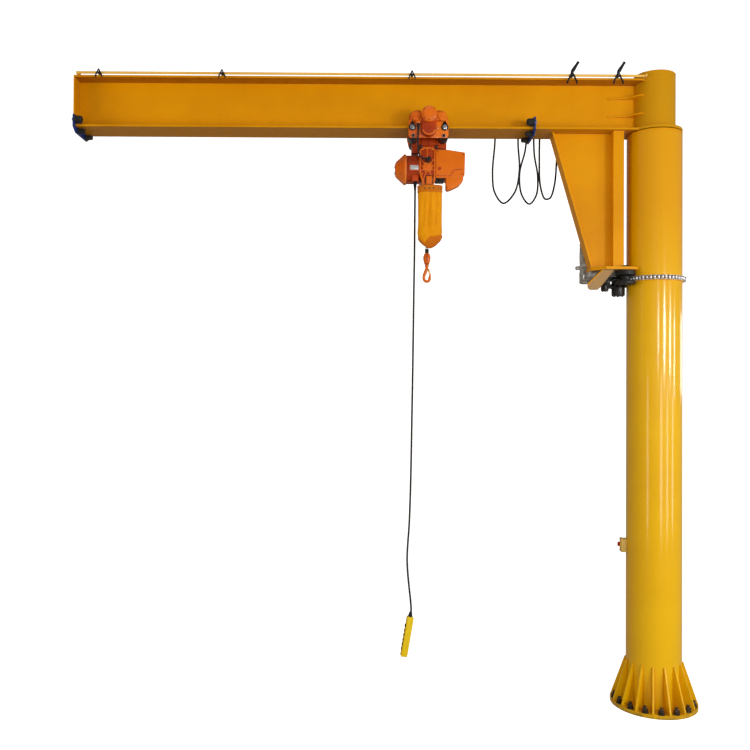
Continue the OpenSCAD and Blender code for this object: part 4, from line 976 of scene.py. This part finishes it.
def bag_point(theta, z, out=0.0):
    a, b, dx = bag_half(z)
    c, sn = math.cos(theta), math.sin(theta)
    e = 2 / 2.7
    x = math.copysign(abs(c) ** e, c)
    y = math.copysign(abs(sn) ** e, sn)
    t = (3611 - z) / 432.0
    body = min(1, max(0, (3567 - z) / 50)) * min(1, max(0, (z - 3184) / 40))
    px, py = BCX + dx + (a + out) * x, BCY + (b + out) * y
    dent = 0.0
    if sn < 0.25:
        front = min(1, (0.25 - sn) / 0.4)
        for fx, depth, wide, top, bottom in ((-1607, 11.0, 11.0, 3578, 3270), (-1562, 10.0, 9.5, 3580, 3285), (-1650, 5.0, 11, 3550, 3300), (-1585, -4.0, 9, 3560, 3262), (-1534, 4.5, 8, 3540, 3310)):
            along = min(1, max(0, (top - z) / 40)) * min(1, max(0, (z - bottom) / 70))
            lean = fx + 7 * math.sin(z / 95.0 + fx)
            dent += depth * along * front * math.exp(-((px - lean) / wide) ** 2)
    dent += body * 3.4 * noise.noise(V((px * 0.016, py * 0.018, z * 0.007)))
    dent += body * 1.7 * noise.noise(V((px * 0.05, py * 0.05, z * 0.019 + 4)))
    dent += body * 1.1 * math.sin(theta * 11 + 0.02 * z + 2 * noise.noise(V((theta, 0, z * 0.01)))) * math.exp(-((3556 - z) / 60.0) ** 2)
    dent += 2.2 * body * max(0, t - 0.55) * math.sin(z * 0.16 + 3 * math.cos(theta) + 4 * noise.noise(V((px * 0.02, 2, z * 0.02))))
    n = V((x * b, y * a, 0))
    if n.length > 0:
        n.normalize()
    if sn < 0.3:
        edge = bag_fold(px - BCX)
        dent += 4.5 * body * math.exp(-((z - edge) / 8.0) ** 2) - 3.4 * body * math.exp(-((z - edge + 16) / 11.0) ** 2)
    return V((px, py, z)) - n * (dent + 1.4)


NB = 112
rows = [3611 - 44 * (i / 6) for i in range(6)] + [3567 - 295 * (i / 60) for i in range(60)] + [3272 - 92.6 * math.sin(math.pi / 2 * (i / 26)) for i in range(27)]
s = Shape()
verts, faces, mats = [], [], []
for z in rows:
    verts += [bag_point(2 * math.pi * k / NB, z) for k in range(NB)]
tip = len(verts)
verts.append(V((BCX + 2, BCY, 3179.2)))
inner = []
for z, o in ((3611, -3.2), (3590, -3.4), (3566, -3.6)):
    inner.append(len(verts))
    verts += [bag_point(2 * math.pi * k / NB, z, o) for k in range(NB)]
mid = len(verts)
verts.append(V((BCX, BCY, 3560)))


def skin(i0, i1):
    for k in range(NB):
        j = (k + 1) % NB
        faces.append([i0 + k, i0 + j, i1 + j, i1 + k])
        # Faces below the fold's edge on the front take the darker band canvas: painted shade of the folded bottom.
        c = (verts[i0 + k] + verts[i1 + j]) / 2
        painted_shade_patch = c.z < bag_fold(c.x - BCX) and c.y < BCY + 20
        mats.append(1 if painted_shade_patch else 0)


for i in range(len(rows) - 1):
    skin(i * NB, (i + 1) * NB)
for k in range(NB):
    faces.append([(len(rows) - 1) * NB + k, (len(rows) - 1) * NB + (k + 1) % NB, tip])
    mats.append(0)
skin(inner[0], 0)
skin(inner[1], inner[0])
skin(inner[2], inner[1])
for k in range(NB):
    faces.append([mid, inner[2] + k, inner[2] + (k + 1) % NB])
    mats.append(0)
s.v, s.f, s.m = verts, faces, mats
verts, faces, mats = [], [], []
loops = [(3612.6, -1.0), (3613.6, 0.6), (3612.6, 2.4), (3592, 2.9), (3570, 2.6), (3566.4, 1.8), (3566, 0.2), (3567, -1.2)]
for z, o in loops:
    verts += [bag_point(2 * math.pi * k / NB, min(z, 3611), o) + V((0, 0, max(0, z - 3611))) for k in range(NB)]
for i in range(len(loops)):
    skin(i * NB, ((i + 1) % len(loops)) * NB)
s.add(verts, faces, 1)
for row_z in (3571.5, 3607.5):
    for k in range(0, 150):
        a, b = 2 * math.pi * (k + 0.15) / 150, 2 * math.pi * (k + 0.7) / 150
        s.tube([bag_point(a, row_z, 2.9), bag_point((a + b) / 2, row_z, 3.5), bag_point(b, row_z, 2.9)], 0.7, 5, 2)
for q in (-1, 1):
    for x in (-1666, -1636, -1605, -1574, -1544, -1525):
        th = min((k for k in range(720) if math.sin(math.pi * k / 360) * q > 0), key=lambda k: abs(bag_point(math.pi * k / 360, 3590, 2.8).x - x)) * math.pi / 360
        p = bag_point(th, 3590, 2.4)
        s.lathe([(7.2, 0), (7.2, 1.0), (6, 2.0), (4.4, 1.7), (3.8, 0.7), (3.8, 0)], p, (0, q, 0), 24, 3, ring=True)
        s.lathe([(4.1, 0), (4.1, 0.8), (0, 0.8)], p, (0, q, 0), 20, 4)
bag = piece("chain_bag_fabric", s, [CANVAS, CANVAS_BAND_AND_SHADE, CANVAS_FOLD, BRASS, BLACK], "trolley", 50, ["chain_bag"])

s = Shape()
for x in (-1655, -1575):
    s.prism([(-96, 3617), (-96, 3611), (-138, 3608.5), (-146, 3604), (-141, 3602), (-136, 3604), (-104, 3606), (-70, 3607), (-70, 3617)], "yz", x - 7, x + 7, 1.0, 2)
piece("bag_brackets", s, [NUT], "trolley", 34)

# ------------------------------------------------------------------ load chain, block and hook
s = Shape()
HX = -1610.0
for k in range(23):
    z = 3640 - 10.35 - 20.7 * k
    a = math.radians(45 + 90 * (k % 2))
    d = V((math.cos(a), math.sin(a), 0))
    pts = []
    for sgn in (1, -1):
        for i in range(9):
            b = math.pi * i / 8
            pts.append(V((HX, 0, z)) + d * (8.2 * math.cos(b) * sgn) + V((0, 0, sgn * (5.45 + 8.2 * math.sin(b)))))
    s.tube(pts, 3.3, 8, 0, True)
chain = piece("load_chain_links", s, [DARK_STEEL], "trolley", 60, ["load_chain"], ride=False)
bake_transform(chain)

s = Shape()
egg = [(9, 3086), (15, 3087), (19, 3092), (22.5, 3102), (25, 3114), (26, 3128), (25, 3140), (21.5, 3151), (16.5, 3159), (12, 3163.4), (9, 3164)]
s.lathe([(r, z) for r, z in egg], (HX, 0, 0), (0, 0, 1), 64)
# Faces of a strip down the block's middle in the dark red: painted shade standing for the slot.
for i, f in enumerate(s.f):
    c = sum((s.v[j] for j in f), V()) / len(f)
    if abs(c.x - HX) < 4.2 and 3098 < c.z < 3158:
        s.m[i] = 1
for q in (-1, 1):
    for x in (-4.6, 4.6):
        s.tube([V((HX + x, q * math.sqrt(r * r - x * x), z)) for r, z in egg[2:-2]], 1.5, 8, 0)
    s.lathe([(7, 0), (7, 3), (6, 4.4), (3.4, 4.4), (3.4, 2.2), (0, 2.2)], (HX + q * 21.4, 0, 3128), (q, 0, 0), 24, 2)
s.lathe([(16, 3083), (18.5, 3084.5), (18.5, 3088), (15, 3091)], (HX, 0, 0), (0, 0, 1), 40, 1)
s.lathe([(9, 3162), (13, 3163.5), (14, 3167), (14, 3173), (12.6, 3176), (14, 3179), (14, 3187), (12.5, 3191), (6.5, 3192)], (HX, 0, 0), (0, 0, 1), 36, 3)
piece("hook_block_case", s, [ORANGE_CAST, RED_PAINT_AND_SHADE, ZINC, BLACK_PLASTIC], "hook_block", 34, ["hook_block"])

s = Shape()
BZ = 2952 + 30.5
way = [(0, 3058, 11), (-2, 3048, 12), (-7, 3034, 12), (-12.5, 3020, 11.6), (-17.8, BZ + 25, 11.2), (-20, BZ + 12, 10.6)]
way += [(20.5 * math.cos(math.radians(d)), BZ + 20.5 * math.sin(math.radians(d)), 10) for d in range(180, 361, 12)]
way += [(20.2, BZ + 5, 9.9), (21.4, BZ + 13, 8.4), (22.8, BZ + 21, 6.9), (24.2, BZ + 28, 5.6), (25, BZ + 33, 4.6)]
s.tube([V((HX + x, 0, z)) for x, z, r in way], 8, 24, 0, False, [r for x, z, r in way])
s.ball(V((HX + 25, 0, BZ + 33)), 4.6, 16)
s.lathe([(0, 3046), (10, 3046), (12.6, 3050), (10.5, 3058), (8, 3062), (8, 3064), (13, 3064), (14, 3066), (14, 3078), (13, 3080), (8, 3080), (8, 3111), (0, 3111)], (HX, 0, 0), (0, 0, 1), 40)
piece("hook_forging", s, [ORANGE], "hook", 50, ["hook"])
s = Shape()
s.prism([(HX + 8.5, 3049), (HX + 15.5, 3047), (HX + 20.0, BZ + 36), (HX + 19.4, BZ + 31), (HX + 17, BZ + 31), (HX + 11.6, BZ + 42)], "xz", -6, 6, 0.9, 2)
for q in (-1, 1):
    s.prism([(HX + 6, 3051), (HX + 15.5, 3051), (HX + 21.5, 3038), (HX + 24, 3024), (HX + 22, 3013), (HX + 15.5, 3018), (HX + 10, 3035)], "xz", *sorted((q * 6, q * 7.6)), 0.6, 2)
s.cyl((HX + 11, -9, 3045), (HX + 11, 9, 3045), 2.6, 16, 1, 0.6)
s.tube([V((HX + 11 + 3.6 * math.cos(b), -5 + 10 * b / 25.2, 3045 + 3.6 * math.sin(b))) for b in np.linspace(0, 25.2, 60)], 0.8, 6, 1)
piece("hook_latch_plate", s, [LATCH, DARK_STEEL], "hook", 34, ["hook_latch"])

# ------------------------------------------------------------------ pendant
PM = Matrix.Translation((-1719, -66, 628)) @ Matrix.Rotation(math.radians(9.5), 4, "Y") @ Matrix.Rotation(math.radians(10), 4, "Z")
s = Shape()
s.rbox((-21, -21, -290), (1.2, 21, -8), 8.5, 5, 0)
s.rbox((1.9, -21, -290), (25, 21, -8), 8.5, 5, 0)
s.rbox((-6, -19.8, -288.5), (8, 19.8, -9.5), 8, 4, 0)
for z, r, m in ((-74, 10.5, 1), (-108, 9.5, 3), (-140, 9.5, 3), (-172, 9.5, 3), (-204, 9.5, 3), (-236, 9.5, 3)):
    s.lathe([(r + 3.4, 0), (r + 3.4, 1.6), (r + 2.2, 2.8), (r + 0.6, 2.8), (r + 0.6, 0)], (-20.8, 0, z), (-1, 0, 0), 32, 1, ring=True)
    s.lathe([(r, 0), (r, 3.6), (r - 1.5, 5.4), (r - 4, 6.0), (0, 6.2)], (-20.6, 0, z), (-1, 0, 0), 32, m)
for z in (-20, -279):
    for y in (-14, 14):
        s.lathe([(2.6, 0), (2.6, 0.9), (2, 1.4), (0, 1.4)], (-20.9, y, z), (-1, 0, 0), 14, 2)
for z in range(-270, -36, 14):
    s.rbox((24, -13, z), (26.6, 13, z + 4), 1.1, 2, 0)
s.move(PM)
grip = piece("pendant_case", s, [PENDANT, BLACK_PLASTIC, ZINC, OCHRE], "trolley", 40, ["pendant"])
s = Shape()
s.lathe([(0, -37), (17, -37), (17.4, -34), (16.4, -31)] + [p for i in range(5) for p in ((15.8 - i * 0.9, -29 + i * 5.4), (14.4 - i * 0.9, -27.6 + i * 5.4), (14.4 - i * 0.9, -25.4 + i * 5.4))]
        + [(10.2, -2), (8.2, 2), (7.0, 3)], (0, 0, 22), (0, 0, 1), 36)
s.move(PM)
boot = piece("pendant_boot", s, [BLACK_PLASTIC], "trolley", 40)
s = Shape()
s.lathe([(6.9, -46), (8.2, -45)] + [p for i in range(6) for p in ((8.8 + i * 0.55, -42 + i * 6.2), (8.8 + i * 0.55, -39.6 + i * 6.2), (7.9 + i * 0.55, -38.6 + i * 6.2), (7.9 + i * 0.55, -37 + i * 6.2))]
        + [(12.6, -3), (13, 0), (13, 4)], (-1699, -66, 3640), (0, 0, 1), 32)
relief = piece("pendant_cable_relief", s, [BLACK_PLASTIC], "trolley", 40)

# ------------------------------------------------------------------ studio
def backdrop():
    prof = [(-40.0, 0.0)]
    prof += [(4.0, 0.0)]
    for i in range(1, 25):
        a = math.pi / 2 * i / 24
        prof.append((4.0 + 4.0 * math.sin(a), 4.0 - 4.0 * math.cos(a)))
    prof.append((8.0, 12.0))
    verts = [(x, y, z) for y, z in prof for x in (-40.0, 40.0)]
    faces = [(2 * i, 2 * i + 1, 2 * i + 3, 2 * i + 2) for i in range(len(prof) - 1)]
    me = bpy.data.meshes.new("studio_floor")
    me.from_pydata(verts, [], faces)
    me.polygons.foreach_set("use_smooth", [True] * len(me.polygons))
    me.materials.append(BACK)
    o = bpy.data.objects.new("studio_floor", me)
    sc.collection.objects.link(o)


backdrop()
floor = bpy.data.objects["studio_floor"]
floor.visible_diffuse = False
floor.visible_glossy = False
bsdf = next(n for n in BACK.node_tree.nodes if n.type == "BSDF_PRINCIPLED")
bsdf.inputs["Emission Color"].default_value = (1, 1, 1, 1)
bsdf.inputs["Emission Strength"].default_value = 0.85

world = bpy.data.worlds.new("world")
sc.world = world
world.use_nodes = True
world.node_tree.nodes["Background"].inputs["Color"].default_value = (1.0, 0.93, 0.84, 1)
world.node_tree.nodes["Background"].inputs["Strength"].default_value = 0.27


def area(name, at, to, size, watts, colour=(1, 1, 1), size_y=None, gloss=True):
    d = bpy.data.lights.new(name, "AREA")
    d.energy = watts
    d.color = colour
    d.size = size
    if size_y:
        d.shape = "RECTANGLE"
        d.size_y = size_y
    o = bpy.data.objects.new(name, d)
    o.visible_camera = False
    o.visible_glossy = gloss
    o.location = at
    o.rotation_euler = (V(to) - V(at)).to_track_quat("-Z", "Y").to_euler()
    sc.collection.objects.link(o)


area("key", (3.2, -6.6, 1.7), (-0.3, 0, 1.0), 3.4, 68, (1.0, 1.05, 0.92), gloss=False)
area("fill", (-2.4, -8.0, 3.2), (-2.0, 0, 3.2), 3.5, 108, (1.0, 0.97, 0.88), gloss=False)
area("side", (-8.5, -3.2, 3.2), (-0.5, 0, 3.0), 2.2, 140, (1.0, 0.87, 0.76), gloss=False)
area("top", (-2.2, -1.5, 8.6), (-1.8, 0, 4), 4.0, 40)
# Narrow panels around the camera, for the streaks in the column's gloss paint and glints on the castings.
for name, deg, wide, low, high, power in (("strip_a", -92.3, 0.32, 2.62, 3.32, 120), ("strip_b", -67.2, 0.50, 2.50, 3.42, 180), ("strip_c", -42.0, 0.38, 2.40, 3.32, 160),
                                          ("strip_d", -20.0, 0.30, 2.20, 3.16, 140), ("panel_a", -134, 0.60, 0.25, 2.30, 14), ("panel_b", -80, 0.75, 0.25, 2.30, 19),
                                          ("panel_c", -54, 0.60, 0.25, 2.20, 23), ("panel_d", -29, 0.60, 0.25, 2.10, 23), ("panel_e", 32, 2.20, 2.10, 3.20, 12)):
    a = math.radians(deg)
    mid = (low + high) / 2
    area(name, (6.0 * math.cos(a), 6.0 * math.sin(a), mid), (0, 0, mid), wide, power * wide * (high - low), size_y=high - low)
